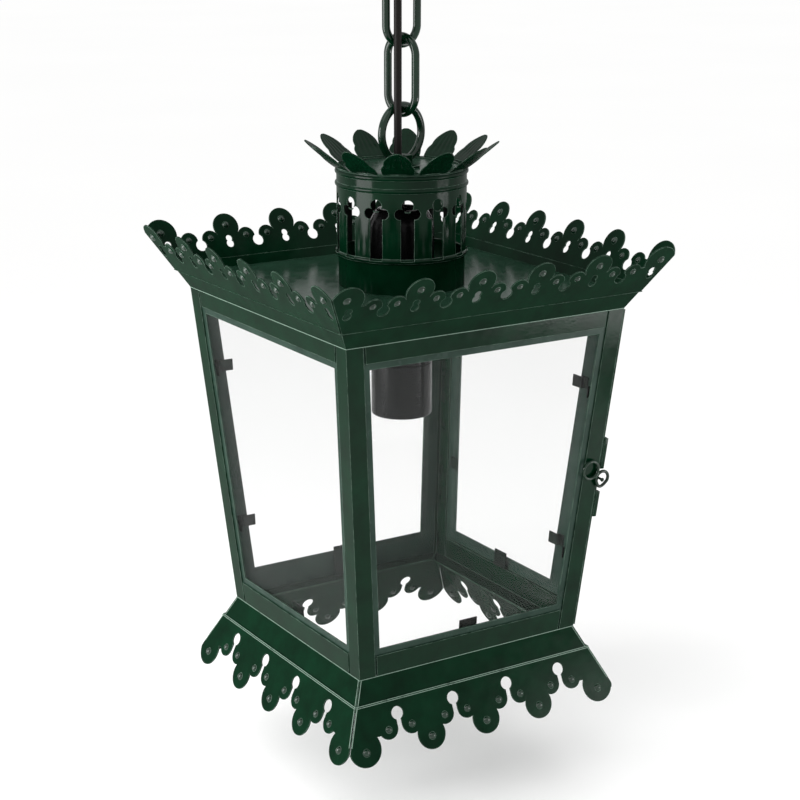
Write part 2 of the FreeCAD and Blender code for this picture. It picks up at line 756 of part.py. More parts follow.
def bottom_rail(turn):
    """The lower rail and the mitred ledge folded in at its foot."""
    inset = POST_LEG + RAIL_GAP
    leaf = placed(plate(trapezoid(0, BOTTOM_RAIL, inset, inset), -SHEET, 0), body_frame(turn))
    half = BODY_BOTTOM_HALF
    behind = SHEET + LEDGE_CLEAR
    inner = behind + LEDGE_WIDTH
    right = [(half - inset, half), (half - inset, half - behind), (half - behind - LEDGE_CLEAR, half - behind)]
    right += [(half - inner - LEDGE_CLEAR, half - inner)]
    outline = right + [(-x, y) for x, y in reversed(right)]
    ledge = plate([(x, -y) for x, y in outline], BODY_BOTTOM, BODY_BOTTOM + SHEET)
    quarter = FreeCAD.Rotation(Vector(0, 0, 1), 90 * turn)
    return leaf.fuse(placed(ledge, FreeCAD.Placement(Vector(), quarter)))


def glazing_frame(turn):
    """A thin frame behind posts and rails whose lip shows round the pane."""
    outer = trapezoid(SHEET, SLOPE - LEDGE_CLEAR, FRAME_EDGE, FRAME_EDGE)
    inner = trapezoid(BOTTOM_RAIL + FRAME_LIP, SLOPE - TOP_RAIL - FRAME_LIP, FRAME_INNER, FRAME_INNER)
    frame = plate(outer, -2 * SHEET, -SHEET).cut(plate(inner, -3 * SHEET, 0))
    return placed(frame, body_frame(turn))


def glass_pane(turn):
    lap = FRAME_LIP - GLASS_LAP
    outline = trapezoid(BOTTOM_RAIL + lap, SLOPE - TOP_RAIL - lap, GLASS_EDGE, GLASS_EDGE)
    return placed(plate(outline, -GLASS_FRONT - GLASS_THICK, -GLASS_FRONT), body_frame(turn))


def side_clip(side, level, pane_edge, front, reach):
    """A bent tab from the glazing frame over the edge of a pane."""
    edge = half_at(level)
    back = front + GLASS_THICK
    riser = pane_edge - CLIP_CLEAR
    section = [(riser - CLIP_FOOT, front), (riser, front), (riser, back), (pane_edge + reach, back)]
    section += [(pane_edge + reach, back + CLIP_SHEET), (riser - CLIP_SHEET, back + CLIP_SHEET)]
    section += [(riser - CLIP_SHEET, front + CLIP_SHEET), (riser - CLIP_FOOT, front + CLIP_SHEET)]
    outline = [Vector(side * (edge - x), level - CLIP_HIGH / 2, -depth) for x, depth in section]
    return face_of(outline).extrude(Vector(0, CLIP_HIGH, 0))


def sill_clip(front, foot, head):
    """A short upright tab behind the middle of a pane's lower edge."""
    back = -front - GLASS_THICK
    half = SILL_CLIP_WIDE / 2
    return plate([(-half, foot), (half, foot), (half, head), (-half, head)], back - CLIP_SHEET, back)


def glass_clips():
    """The clips of the three fixed panes: short ones at the sides, one upright at each sill."""
    foot = SHEET - (GLASS_FRONT + GLASS_THICK) * math.sin(TAPER) + 0.1
    head = BOTTOM_RAIL + FRAME_LIP + SILL_CLIP_RISE
    clips = []
    for turn, sides, reach in ((0, (-1, 1), CLIP_HIDDEN), (2, (1,), CLIP_SHOWN), (3, (-1, 1), CLIP_HIDDEN)):
        for level in CLIP_LEVELS:
            for side in sides:
                clips.append(placed(side_clip(side, level, GLASS_EDGE, GLASS_FRONT, reach), body_frame(turn)))
        clips.append(placed(sill_clip(GLASS_FRONT, foot, head), body_frame(turn)))
    return Part.makeCompound(clips)


def door_levels():
    """Lower and upper edge of the door's opening, up the slope."""
    return DOOR_EDGE + DOOR_BOTTOM_RAIL, SLOPE - DOOR_EDGE - DOOR_TOP_RAIL


def door_frame():
    """A flat frame laid over the outside of the posts."""
    low, high = door_levels()
    outer = trapezoid(DOOR_EDGE, SLOPE - DOOR_EDGE, DOOR_FRONT, DOOR_REAR)
    inner = trapezoid(low, high, DOOR_LATCH_STILE, DOOR_REAR + DOOR_HINGE_STILE)
    skin = DOOR_GAP + DOOR_SHEET
    frame = plate(outer, DOOR_GAP, skin).cut(plate(inner, DOOR_GAP - 1, skin + 1))
    return placed(frame, body_frame(1))


def door_glazing_frame():
    """The thin frame on the door's inner face, small enough to pass between the posts."""
    low, high = door_levels()
    edge = POST_LEG + DOOR_REBATE
    outer = trapezoid(BOTTOM_RAIL + DOOR_REBATE, SLOPE - TOP_RAIL - DOOR_REBATE, edge, edge)
    inner = trapezoid(low + FRAME_LIP, high - FRAME_LIP, DOOR_LATCH_INNER, DOOR_HINGE_INNER)
    frame = plate(outer, DOOR_GAP - SHEET, DOOR_GAP).cut(plate(inner, DOOR_GAP - 2 * SHEET, DOOR_GAP + 1))
    return placed(frame, body_frame(1))


def door_glass():
    low, high = door_levels()
    lap = FRAME_LIP - GLASS_LAP
    outline = trapezoid(low + lap, high - lap, DOOR_LATCH_INNER - GLASS_LAP, DOOR_HINGE_INNER - GLASS_LAP)
    back = DOOR_GAP - SHEET
    return placed(plate(outline, back - GLASS_THICK, back), body_frame(1))


def door_clips():
    """Two clips at the latch stile, one at the hinge stile and one at the sill of the door."""
    low, _ = door_levels()
    front = SHEET - DOOR_GAP
    latch_edge = DOOR_LATCH_INNER - GLASS_LAP
    hinge_edge = DOOR_HINGE_INNER - GLASS_LAP
    clips = [side_clip(-1, level, latch_edge, front, CLIP_SHOWN) for level in CLIP_LEVELS]
    clips.append(side_clip(1, DOOR_HINGE_CLIP, hinge_edge, front, CLIP_SHOWN))
    foot = BOTTOM_RAIL + DOOR_REBATE
    sill = sill_clip(front, low, low + FRAME_LIP + SILL_CLIP_RISE)
    half = SILL_CLIP_WIDE / 2
    base = plate([(-half, foot), (half, foot), (half, low), (-half, low)], -front - GLASS_THICK - CLIP_SHEET, -front)
    clips.append(sill.fuse(base).removeSplitter())
    return Part.makeCompound([placed(clip, body_frame(1)) for clip in clips])


def hinge_frame(level):
    """Frame on the hinge's axis: Z up the back corner's slope, X out of the door, Y towards its hinge edge."""
    out = BODY_TOP_HALF - BODY_BOTTOM_HALF
    along = Vector(out, out, BODY_HEIGHT).normalize()
    normal = Vector(math.cos(TAPER), 0, -math.sin(TAPER))
    across = along.cross(normal)
    point = body_frame(1).multVec(Vector(half_at(level) - HINGE_INSET, level, HINGE_OUT))
    matrix = FreeCAD.Matrix(
        normal.x, across.x, along.x, point.x,
        normal.y, across.y, along.y, point.y,
        normal.z, across.z, along.z, point.z,
        0, 0, 0, 1,
    )
    return FreeCAD.Placement(matrix)


def leaf_box(y_start, y_end, x_low, z_low, z_high):
    return Part.makeBox(LEAF, abs(y_end - y_start), z_high - z_low, Vector(x_low, min(y_start, y_end), z_low))


def hinge_door_leaves():
    """The middle knuckle of each hinge and the leaf on the door."""
    half = HINGE_LONG / 2 - KNUCKLE_LONG - KNUCKLE_GAP
    skin = DOOR_GAP + DOOR_SHEET - HINGE_OUT
    leaves = []
    for level in HINGE_LEVELS:
        leaf = rod(KNUCKLE_R, -half, half).fuse(leaf_box(0, -DOOR_LEAF_WIDE, skin, -half, half))
        leaf = leaf.cut(rod(PIN_R + PIN_CLEAR, -half - CUT_REACH, half + CUT_REACH))
        leaves.append(placed(leaf, hinge_frame(level)))
    return Part.makeCompound(leaves)


def hinge_post_leaves():
    """The two end knuckles of each hinge and the leaf on the back post."""
    end = HINGE_LONG / 2
    leaves = []
    for level in HINGE_LEVELS:
        leaf = leaf_box(KNUCKLE_R * 0.8, POST_LEAF_WIDE, -HINGE_OUT, -end, end)
        for low in (-end, end - KNUCKLE_LONG):
            leaf = leaf.fuse(rod(KNUCKLE_R, low, low + KNUCKLE_LONG))
            leaf = leaf.fuse(leaf_box(0, KNUCKLE_R, -HINGE_OUT, low, low + KNUCKLE_LONG))
        leaf = leaf.removeSplitter().cut(rod(PIN_R + PIN_CLEAR, -end - CUT_REACH, end + CUT_REACH))
        leaves.append(placed(leaf, hinge_frame(level)))
    return Part.makeCompound(leaves)


def hinge_pins():
    end = HINGE_LONG / 2
    pins = []
    for level in HINGE_LEVELS:
        pin = rod(PIN_R, -end, end).fuse(rod(KNUCKLE_R, end, end + LEAF))
        pins.append(placed(pin, hinge_frame(level)))
    return Part.makeCompound(pins)


def latch_frame():
    """Frame on the latch's pivot: X along the -Y side, Y up its slope, Z out of it."""
    pivot = half_at(LATCH_LEVEL) + DOOR_GAP + DOOR_SHEET / 2
    return body_frame(0) * FreeCAD.Placement(Vector(pivot, LATCH_LEVEL, 0), FreeCAD.Rotation())


def latch_plate():
    """A strip on the door's front edge with the pivot pin that the wire eye turns on."""
    low = LATCH_LEVEL - LATCH_PLATE_LONG / 2
    high = LATCH_LEVEL + LATCH_PLATE_LONG / 2
    skin = DOOR_GAP + DOOR_SHEET
    front = DOOR_FRONT - LATCH_PLATE_OVER
    points = [(front - half_at(low), low), (front - half_at(low) + LATCH_PLATE_WIDE, low)]
    points += [(front - half_at(high) + LATCH_PLATE_WIDE, high), (front - half_at(high), high)]
    strip = placed(plate(points, skin, skin + LATCH_PLATE_THICK), body_frame(1))
    start = -DOOR_FRONT + LATCH_LUG_CLEAR
    head = LATCH_PIN_LONG + LATCH_HEAD
    pin = rod(LATCH_PIN_R, start, LATCH_PIN_LONG).fuse(rod(LATCH_HEAD_R, LATCH_PIN_LONG, head))
    reach = DOOR_SHEET / 2 + LATCH_PLATE_THICK
    corner = Vector(-DOOR_SHEET / 2, -LATCH_LUG_HIGH / 2, start)
    lug = Part.makeBox(DOOR_SHEET / 2 + reach, LATCH_LUG_HIGH, LATCH_LUG_THICK, corner)
    pin = placed(pin.fuse(lug), latch_frame())
    return strip.fuse(pin)


def latch_wire():
    """A bent wire: a drop-shaped eye on the pivot pin, and a ring in front of the post."""
    ring_x = -LATCH_RING_BACK
    ring_steps = 2 * BEND_STEPS
    turns = [2 * math.pi * i / ring_steps for i in range(ring_steps)]
    ring = [(ring_x + LATCH_RING_R * math.cos(a), LATCH_RING_UP + LATCH_RING_R * math.sin(a)) for a in turns]
    eye_turns = [math.radians(-30 + 240 * i / BEND_STEPS) for i in range(BEND_STEPS + 1)]
    eye = [(LATCH_EYE_R * math.cos(a) - LATCH_EYE_BACK, LATCH_EYE_R * math.sin(a)) for a in eye_turns]
    eye.append((-LATCH_EYE_BACK - LATCH_EYE_R * 0.4, -LATCH_TAIL))
    pieces = []
    for path in (ring, eye):
        points = [Vector(x, y, LATCH_STAND) for x, y in path]
        pieces.append(wire_body(points, Vector(0, 0, 1), LATCH_WIRE_R, True))
    return placed(pieces[0].fuse(pieces[1]), latch_frame())


def holder_levels():
    bottom = ROOF_TOP - HOLDER_DROP
    seam = bottom + SLEEVE_HIGH
    return bottom, seam, seam + CAP_HIGH


def lampholder_sleeve():
    bottom, seam, _ = holder_levels()
    inner = HOLDER_R - HOLDER_WALL
    section = [(inner, bottom), (HOLDER_R - 0.8, bottom), (HOLDER_R, bottom + 0.8), (HOLDER_R, seam - 0.4)]
    section += [(HOLDER_R - 0.4, seam), (inner, seam)]
    return turned(section, HOLDER_SIDES)


def lampholder_cap():
    _, seam, top = holder_levels()
    inner = HOLDER_R - HOLDER_WALL
    roof = top - HOLDER_WALL
    fit = NIPPLE_R + SHANK_CLEAR
    section = [(inner, seam), (HOLDER_R - 0.4, seam), (HOLDER_R, seam + 0.4), (HOLDER_R, top - CAP_SHOULDER)]
    section += [(HOLDER_R - CAP_SHOULDER, top), (NECK_R, top), (NECK_R, top + NECK_HIGH), (fit, top + NECK_HIGH)]
    section += [(fit, roof), (HOLDER_R - CAP_SHOULDER - 1.0, roof), (inner, roof - CAP_SHOULDER + 1.0)]
    return turned(section, HOLDER_SIDES)


def screw_shell():
    """The threaded shell that takes the lamp's cap, as a plain bore."""
    bottom, _, _ = holder_levels()
    low = bottom + SHELL_RECESS
    skin = plate(polygon(0, 0, SHELL_R + SHELL_WALL, HOLDER_SIDES), low, low + SHELL_HIGH)
    return skin.cut(rod(SHELL_R, low - CUT_REACH, low + SHELL_HIGH + CUT_REACH))


def contact_block():
    """The insulating block above the shell, with its centre contact."""
    bottom, _, _ = holder_levels()
    low = bottom + SHELL_RECESS + SHELL_HIGH
    inner = HOLDER_R - HOLDER_WALL
    rim = SHELL_R + SHELL_WALL / 2
    tip = low + CONTACT_CLEAR
    recess = tip + CONTACT_DROP
    section = [(0, tip), (CONTACT_R * 0.7, tip), (CONTACT_R, recess), (rim, recess), (rim, low), (inner, low)]
    section += [(inner, low + BLOCK_HIGH), (0, low + BLOCK_HIGH)]
    return turned(section, HOLDER_SIDES)


def lamp_nipple():
    _, _, top = holder_levels()
    low = top - HOLDER_WALL
    high = ROOF_TOP + NIPPLE_ABOVE
    section = [(NIPPLE_BORE_R, low), (NIPPLE_R, low), (NIPPLE_R, high), (NIPPLE_BORE_R, high)]
    return turned(section, BUSH_SIDES)


def lamp_bridge():
    """A bar across the chimney's mouth that carries the lampholder."""
    half_x = BRIDGE_LONG / 2
    half_y = BRIDGE_WIDE / 2
    outline = [(-half_x, -half_y), (half_x, -half_y), (half_x, half_y), (-half_x, half_y)]
    bridge = plate(outline, ROOF_TOP, ROOF_TOP + BRIDGE_THICK)
    return bridge.cut(rod(NIPPLE_R + SHANK_CLEAR, ROOF_TOP - CUT_REACH, ROOF_TOP + CUT_REACH))


def cord_grip():
    low = ROOF_TOP + NIPPLE_ABOVE
    bore = CABLE_R + GROMMET_CLEAR
    top = low + GRIP_HIGH
    section = [(bore, low), (GRIP_R, low), (GRIP_R, top - GRIP_TAPER), (GRIP_R - GRIP_TAPER_IN, top)]
    return turned(section + [(bore, top)], BUSH_SIDES)


SIDES = ("front", "right", "rear", "left")
POSTS = {"front": (-1, -1), "right": (1, -1), "back": (1, 1), "left": (-1, 1)}

nodes = {
    "ceiling_strap": ceiling_strap(),
    "ceiling_hook": ceiling_hook(),
    "ceiling_canopy": ceiling_canopy(),
    "canopy_collar": canopy_collar(),
    "chain_link_upper": link_shape(UPPER_TURN, UPPER_TOP),
    "chain_link_lower": link_shape(LOWER_TURN, LOWER_TOP),
    "hanging_ring": hanging_ring(),
    "supply_cable": supply_cable(),
    "hanging_loop": hanging_loop(),
    "cap_disc": cap_disc(),
    "petal_crown": petal_crown(),
    "cap_grommet": grommet(CAP_TOP - SHEET, CAP_TOP),
    "chimney": chimney(),
    "chimney_collar": chimney_collar(),
    "roof_plate": roof_plate(),
    "cornice_band": sloping_band(BODY_TOP_HALF, BODY_TOP, CORNICE_BAND, CORNICE_LEAN, 1),
    "skirt_band": sloping_band(BODY_BOTTOM_HALF, BODY_BOTTOM, SKIRT_BAND, SKIRT_LEAN, -1),
    "glass_clips": glass_clips(),
    "door_frame": door_frame(),
    "door_glazing_frame": door_glazing_frame(),
    "door_glass": door_glass(),
    "door_clips": door_clips(),
    "hinge_door_leaves": hinge_door_leaves(),
    "hinge_post_leaves": hinge_post_leaves(),
    "hinge_pins": hinge_pins(),
    "latch_plate": latch_plate(),
    "latch_wire": latch_wire(),
    "lampholder_sleeve": lampholder_sleeve(),
    "lampholder_cap": lampholder_cap(),
    "screw_shell": screw_shell(),
    "contact_block": contact_block(),
    "lamp_nipple": lamp_nipple(),
    "lamp_bridge": lamp_bridge(),
    "cord_grip": cord_grip(),
}
for turn, side in enumerate(SIDES):
    nodes["gallery_strip_" + side] = gallery_strip(turn)
    nodes["skirt_strip_" + side] = skirt_strip(turn)
    nodes["top_rail_" + side] = top_rail(turn)
    nodes["bottom_rail_" + side] = bottom_rail(turn)
    if side != "right":
        nodes["glazing_frame_" + side] = glazing_frame(turn)
        nodes["glass_pane_" + side] = glass_pane(turn)
for corner, signs in POSTS.items():
    nodes["corner_post_" + corner] = corner_post(*signs)

os.makedirs("parts", exist_ok=True)
for name, shape in nodes.items():
    shape.exportStep("parts/" + name + ".step")
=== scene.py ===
import json
import math

import bpy
from mathutils import Matrix, Vector


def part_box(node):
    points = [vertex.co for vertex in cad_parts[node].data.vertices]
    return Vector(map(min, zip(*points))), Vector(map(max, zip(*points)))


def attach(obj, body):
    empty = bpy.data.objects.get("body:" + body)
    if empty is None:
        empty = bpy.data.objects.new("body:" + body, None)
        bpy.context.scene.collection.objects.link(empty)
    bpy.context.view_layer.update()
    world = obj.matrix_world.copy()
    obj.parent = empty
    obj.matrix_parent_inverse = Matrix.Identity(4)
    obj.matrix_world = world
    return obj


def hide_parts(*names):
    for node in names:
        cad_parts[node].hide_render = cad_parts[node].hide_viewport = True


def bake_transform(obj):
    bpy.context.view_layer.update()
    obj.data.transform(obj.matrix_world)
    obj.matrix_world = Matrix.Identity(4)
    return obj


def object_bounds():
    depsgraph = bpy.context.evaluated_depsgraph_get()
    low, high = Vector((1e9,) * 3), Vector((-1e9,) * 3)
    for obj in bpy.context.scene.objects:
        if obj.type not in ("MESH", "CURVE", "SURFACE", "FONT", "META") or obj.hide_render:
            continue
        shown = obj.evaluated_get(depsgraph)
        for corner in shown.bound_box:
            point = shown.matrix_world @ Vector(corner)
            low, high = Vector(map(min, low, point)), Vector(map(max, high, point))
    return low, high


bl_info = {
    "name": "Hanging Lantern",
    "version": (1, 0, 0),
    "blender": (4, 5, 0),
    "location": "View3D > Sidebar > Lantern",
    "description": "Dresses a glazed hanging lantern of folded sheet and sets its stage",
    "category": "Object",
}

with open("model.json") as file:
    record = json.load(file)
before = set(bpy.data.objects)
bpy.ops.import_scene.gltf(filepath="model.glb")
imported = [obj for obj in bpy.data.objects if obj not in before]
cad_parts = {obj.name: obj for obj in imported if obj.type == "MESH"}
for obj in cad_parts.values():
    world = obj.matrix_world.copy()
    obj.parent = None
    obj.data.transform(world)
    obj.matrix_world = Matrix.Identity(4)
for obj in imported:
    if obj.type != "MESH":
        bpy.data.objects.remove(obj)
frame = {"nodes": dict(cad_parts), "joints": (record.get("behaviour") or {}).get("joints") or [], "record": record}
CAD_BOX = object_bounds()
MM = 0.001
CAP_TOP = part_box("cap_disc")[1].z
ROOF_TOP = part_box("roof_plate")[1].z
BODY_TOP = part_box("corner_post_front")[1].z
BODY_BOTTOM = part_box("corner_post_front")[0].z
HOLDER_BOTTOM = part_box("lampholder_sleeve")[0].z
RING_MIDDLE = (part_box("hanging_ring")[0].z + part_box("hanging_ring")[1].z) / 2
SIDES = ("front", "right", "rear", "left")
# Where the pierced strips start on the leaning bands, and the bands' lean in degrees
GALLERY_LAP = 14.2 * MM
GALLERY_LEAN = 30.5
SKIRT_LAP = 16.3 * MM
SKIRT_LEAN = 25.5
# The photograph's camera, fitted to the corners of the glazed body
PHOTO_PIXELS = 800.0
FOCAL_PIXELS = 1800.9
SHIFT_X_PIXELS = -1.6
SHIFT_Y_PIXELS = 58.2
CAMERA_AZIMUTH = math.radians(-32.17)
CAMERA_ELEVATION = math.radians(17.5)
CAMERA_DISTANCE = 1.2605


def distance(name, description, default):
    """A length that the sidebar shows."""
    return bpy.props.FloatProperty(
        name=name, description=description, default=default, min=0.0, unit="LENGTH", subtype="DISTANCE"
    )


def paint(name, description, default):
    """A colour that the sidebar shows."""
    return bpy.props.FloatVectorProperty(
        name=name, description=description, default=default, size=4, min=0.0, max=1.0, subtype="COLOR"
    )


class LanternSizes(bpy.types.PropertyGroup):
    """Sizes of the lantern's sheet, wire and ornament."""

    wire: distance("Chain Wire", "Thickness of the chain's wire", 5.3 * MM)
    link_width: distance("Link Width", "Outer width of a chain link", 30.0 * MM)
    link_length: distance("Link Length", "Outer length of a chain link", 55.0 * MM)
    ring: distance("Ring", "Outer diameter of the ring on the cap", 41.5 * MM)
    cable: distance("Cable", "Diameter of the supply cable", 5.2 * MM)
    strip: distance("Strip Sheet", "Thickness of the scalloped strips", 0.9 * MM)
    dimple: distance("Dimple", "Radius of a pressed dimple", 2.5 * MM)
    body_top_half: distance("Body Top", "Half width of the glazed body at its top", 107.0 * MM)
    body_bottom_half: distance("Body Bottom", "Half width of the glazed body at its foot", 87.6 * MM)
    chimney: distance("Chimney", "Radius of the slotted chimney", 43.6 * MM)
    holder: distance("Lampholder", "Radius of the lampholder", 20.85 * MM)
    solder_and_highlight_bead: distance("Seam Bead", "Radius of the fine bead along a folded edge", 0.28 * MM)


class LanternColours(bpy.types.PropertyGroup):
    """Colours of the lantern's finishes."""

    enamel: paint("Enamel", "Dark green gloss paint", (0.0008, 0.0180, 0.0068, 1.0))
    enamel_deep: paint("Enamel in Folds", "Paint where it gathers", (0.0004, 0.0105, 0.0038, 1.0))
    # Partly painted highlight: this pale edge colour stands partly for paint worn thin on edges and partly for
    # light caught along the folded edges.
    edge: paint("Worn Edge", "Pale line where paint thins on an edge", (0.15, 0.23, 0.18, 1.0))
    # Painted light: the roof and cap are the same green enamel, painted paler to stand for light on their upward
    # faces; the darker tone below varies at random.
    roof: paint("Roof", "Paint of the flat roof and cap, paler under the light", (0.016, 0.046, 0.028, 1.0))
    roof_deep: paint("Roof in Clouds", "That paint where it dulls", (0.010, 0.033, 0.019, 1.0))
    # Painted light: the glazing frames behind the panes are the same green enamel, painted paler to stand for
    # light that falls on them through the glass.
    lining: paint("Glazing Frame", "Paler paint of the frames behind the panes", (0.022, 0.045, 0.033, 1.0))
    lining_deep: paint("Glazing Frame in Folds", "That paint where it gathers", (0.012, 0.028, 0.020, 1.0))
    # Painted shade: a near-black colour for the chimney's inner faces, standing for the shade inside the chimney.
    inside: paint("Chimney Inside", "Dark coat inside the chimney", (0.0012, 0.0030, 0.0018, 1.0))
    # Partly painted reflection: this grey, laid faintly over the panes, stands partly for the glass's faint tint
    # and partly for reflections of the bright surroundings.
    glass: paint("Glass", "Tint of the clear panes", (0.20, 0.23, 0.215, 1.0))
    holder: paint("Lampholder", "Black moulding of the lampholder", (0.0030, 0.0030, 0.0032, 1.0))
    cable: paint("Cable", "Sheath of the supply cable", (0.0060, 0.0050, 0.0044, 1.0))
    clip: paint("Clip", "Dark tabs that hold the panes", (0.0050, 0.0050, 0.0048, 1.0))
    brass: paint("Brass", "Screw shell of the lampholder", (0.62, 0.43, 0.18, 1.0))
    steel: paint("Steel", "Plated steel of the hidden fittings", (0.42, 0.43, 0.44, 1.0))
    insulator: paint("Insulator", "Block behind the lamp's contact", (0.72, 0.70, 0.64, 1.0))
    floor: paint("Floor", "Pale studio floor", (0.975, 0.975, 0.972, 1.0))


def sizes():
    """The sizes that the sidebar shows."""
    return bpy.context.scene.lantern_sizes


def colours():
    """The colours that the sidebar shows."""
    return bpy.context.scene.lantern_colours


# Modelling helpers


def deselect():
    bpy.ops.object.select_all(action="DESELECT")


def choose(*objects):
    """Selects these objects and makes the first one active."""
    deselect()
    for obj in objects:
        obj.select_set(True)
    bpy.context.view_layer.objects.active = objects[0]


def made(name):
    """Names the primitive that was just added."""
    obj = bpy.context.active_object
    obj.name = name
    obj.data.name = name
    return obj


def joined(objects, name):
    """Makes one object of several."""
    choose(*objects)
    bpy.ops.object.join()
    return made(name)


def settled(obj):
    """Puts an object's place, turn and scale into its mesh."""
    choose(obj)
    bpy.ops.object.transform_apply(location=True, rotation=True, scale=True)
    return obj


def block(name, middle, size, rotation=(0, 0, 0)):
    """A box to be shaped further or to cut with."""
    deselect()
    bpy.ops.mesh.primitive_cube_add(size=1.0, location=middle, rotation=rotation)
    bpy.context.active_object.scale = size
    return settled(made(name))


def rod(name, sides, middle, radius, length, rotation=(0, 0, 0)):
    """A round bar to be shaped further or to cut with."""
    deselect()
    bpy.ops.mesh.primitive_cylinder_add(
        vertices=sides, radius=radius, depth=length, location=middle, rotation=rotation
    )
    return settled(made(name))


def modified(obj, kind, **values):
    """Adds a modifier and applies it."""
    choose(obj)
    bpy.ops.object.modifier_add(type=kind)
    modifier = obj.modifiers[-1]
    for key, value in values.items():
        setattr(modifier, key, value)
    bpy.ops.object.modifier_apply(modifier=modifier.name)
    return obj


def bevelled(obj, width, angle):
    """Rounds the edges that turn by more than an angle in degrees."""
    limit = math.radians(angle)
    return modified(obj, "BEVEL", width=width, segments=2, limit_method="ANGLE", angle_limit=limit)


def carved(obj, tool, operation):
    """Joins or cuts an object with another one, which is used up."""
    modified(obj, "BOOLEAN", operation=operation, object=tool, solver="EXACT", use_self=True)
    bpy.data.objects.remove(tool)
    return obj


def smoothed(obj, angle=35.0):
    """Shades smooth across edges that turn by less than an angle in degrees."""
    choose(obj)
    bpy.ops.object.shade_smooth_by_angle(angle=math.radians(angle))
    return obj


def outward(obj):
    """Merges doubled points and turns every face outwards."""
    choose(obj)
    bpy.ops.object.mode_set(mode="EDIT")
    bpy.ops.mesh.select_all(action="SELECT")
    bpy.ops.mesh.remove_doubles(threshold=0.01 * MM)
    bpy.ops.mesh.normals_make_consistent(inside=False)
    bpy.ops.object.mode_set(mode="OBJECT")
    return obj


def copied(obj, name, matrix):
    """A copy with a mesh of its own, moved by a matrix."""
    copy = obj.copy()
    copy.data = obj.data.copy()
    copy.name = name
    copy.data.name = name
    bpy.context.scene.collection.objects.link(copy)
    copy.data.transform(matrix)
    return copy


def lathed(name, profile, sides):
    """A turned form: a circle is drawn out ring by ring along a profile in millimetres, then closed."""
    deselect()
    rings = [(radius * MM, height * MM) for radius, height in profile]
    before = rings[0]
    bpy.ops.mesh.primitive_circle_add(vertices=sides, radius=before[0], location=(0, 0, before[1]))
    obj = settled(made(name))
    bpy.ops.object.mode_set(mode="EDIT")
    bpy.ops.mesh.select_all(action="SELECT")
    for radius, height in rings[1:]:
        bpy.ops.mesh.extrude_region_move(TRANSFORM_OT_translate={"value": (0, 0, height - before[1])})
        grow = radius / before[0]
        bpy.ops.transform.resize(value=(grow, grow, 1), center_override=(0, 0, height))
        before = (radius, height)
    bpy.ops.object.mode_set(mode="OBJECT")
    ends = (0, len(rings) - 1)
    for vertex in obj.data.vertices:
        vertex.select = vertex.index // sides in ends
    for edge in obj.data.edges:
        one, two = (index // sides for index in edge.vertices)
        edge.select = one == two and one in ends
    bpy.ops.object.mode_set(mode="EDIT")
    bpy.ops.mesh.select_mode(type="EDGE")
    bpy.ops.mesh.bridge_edge_loops()
    bpy.ops.mesh.select_mode(type="VERT")
    bpy.ops.object.mode_set(mode="OBJECT")
    return outward(obj)


def rounded(profile, steps, roundings):
    """A profile whose named corners are replaced by quarter-round fillets of a given size."""
    points = []
    for index, here in enumerate(profile):
        size = roundings.get(index, 0.0)
        if not size:
            points.append(here)
            continue
        before = Vector(profile[index - 1])
        after = Vector(profile[(index + 1) % len(profile)])
        corner = Vector(here)
        start = corner + (before - corner).normalized() * size
        end = corner + (after - corner).normalized() * size
        for step in range(steps + 1):
            t = step / steps
            point = start * (1 - t) ** 2 + corner * 2 * t * (1 - t) + end * t ** 2
            points.append((point.x, point.y))
    return points


def wired(name, points, radius, closed):
    """Round wire bent along a path: a ring of points is laid on it, then given its thickness."""
    deselect()
    bpy.ops.mesh.primitive_circle_add(vertices=len(points), radius=1.0)
    obj = made(name)
    for vertex, point in zip(obj.data.vertices, points):
        vertex.co = point
    if not closed:
        last = (0, len(points) - 1)
        for vertex in obj.data.vertices:
            vertex.select = vertex.index in last
        for edge in obj.data.edges:
            edge.select = set(edge.vertices) == set(last)
        bpy.ops.object.mode_set(mode="EDIT")
        bpy.ops.mesh.delete(type="EDGE")
        bpy.ops.object.mode_set(mode="OBJECT")
    bpy.ops.object.convert(target="CURVE")
    curve = bpy.context.active_object.data
    curve.bevel_depth = radius
    curve.bevel_resolution = 6
    curve.use_fill_caps = True
    bpy.ops.object.convert(target="MESH")
    return smoothed(outward(made(name)), 50)


def side_matrix(turn, half, height, lean):
    """Frame of a sloping side: X along it, Y up its slope, Z out of it."""
    tilt = Matrix.Translation((0, -half, height)) @ Matrix.Rotation(math.radians(90 + lean), 4, "X")
    return Matrix.Rotation(math.radians(90 * turn), 4, "Z") @ tilt


def punch(shapes, thick, name):
    """Round and square punches through the sheet, as one tool; sizes in millimetres."""
    tools = []
    for x, y, *size in shapes:
        middle = (x * MM, y * MM, sizes().strip / 2)
        if len(size) == 1:
            tools.append(rod(name, 48, middle, size[0] * MM, thick))
        else:
            tools.append(block(name, middle, (size[0] * MM, size[1] * MM, thick)))
    return joined(tools, name)


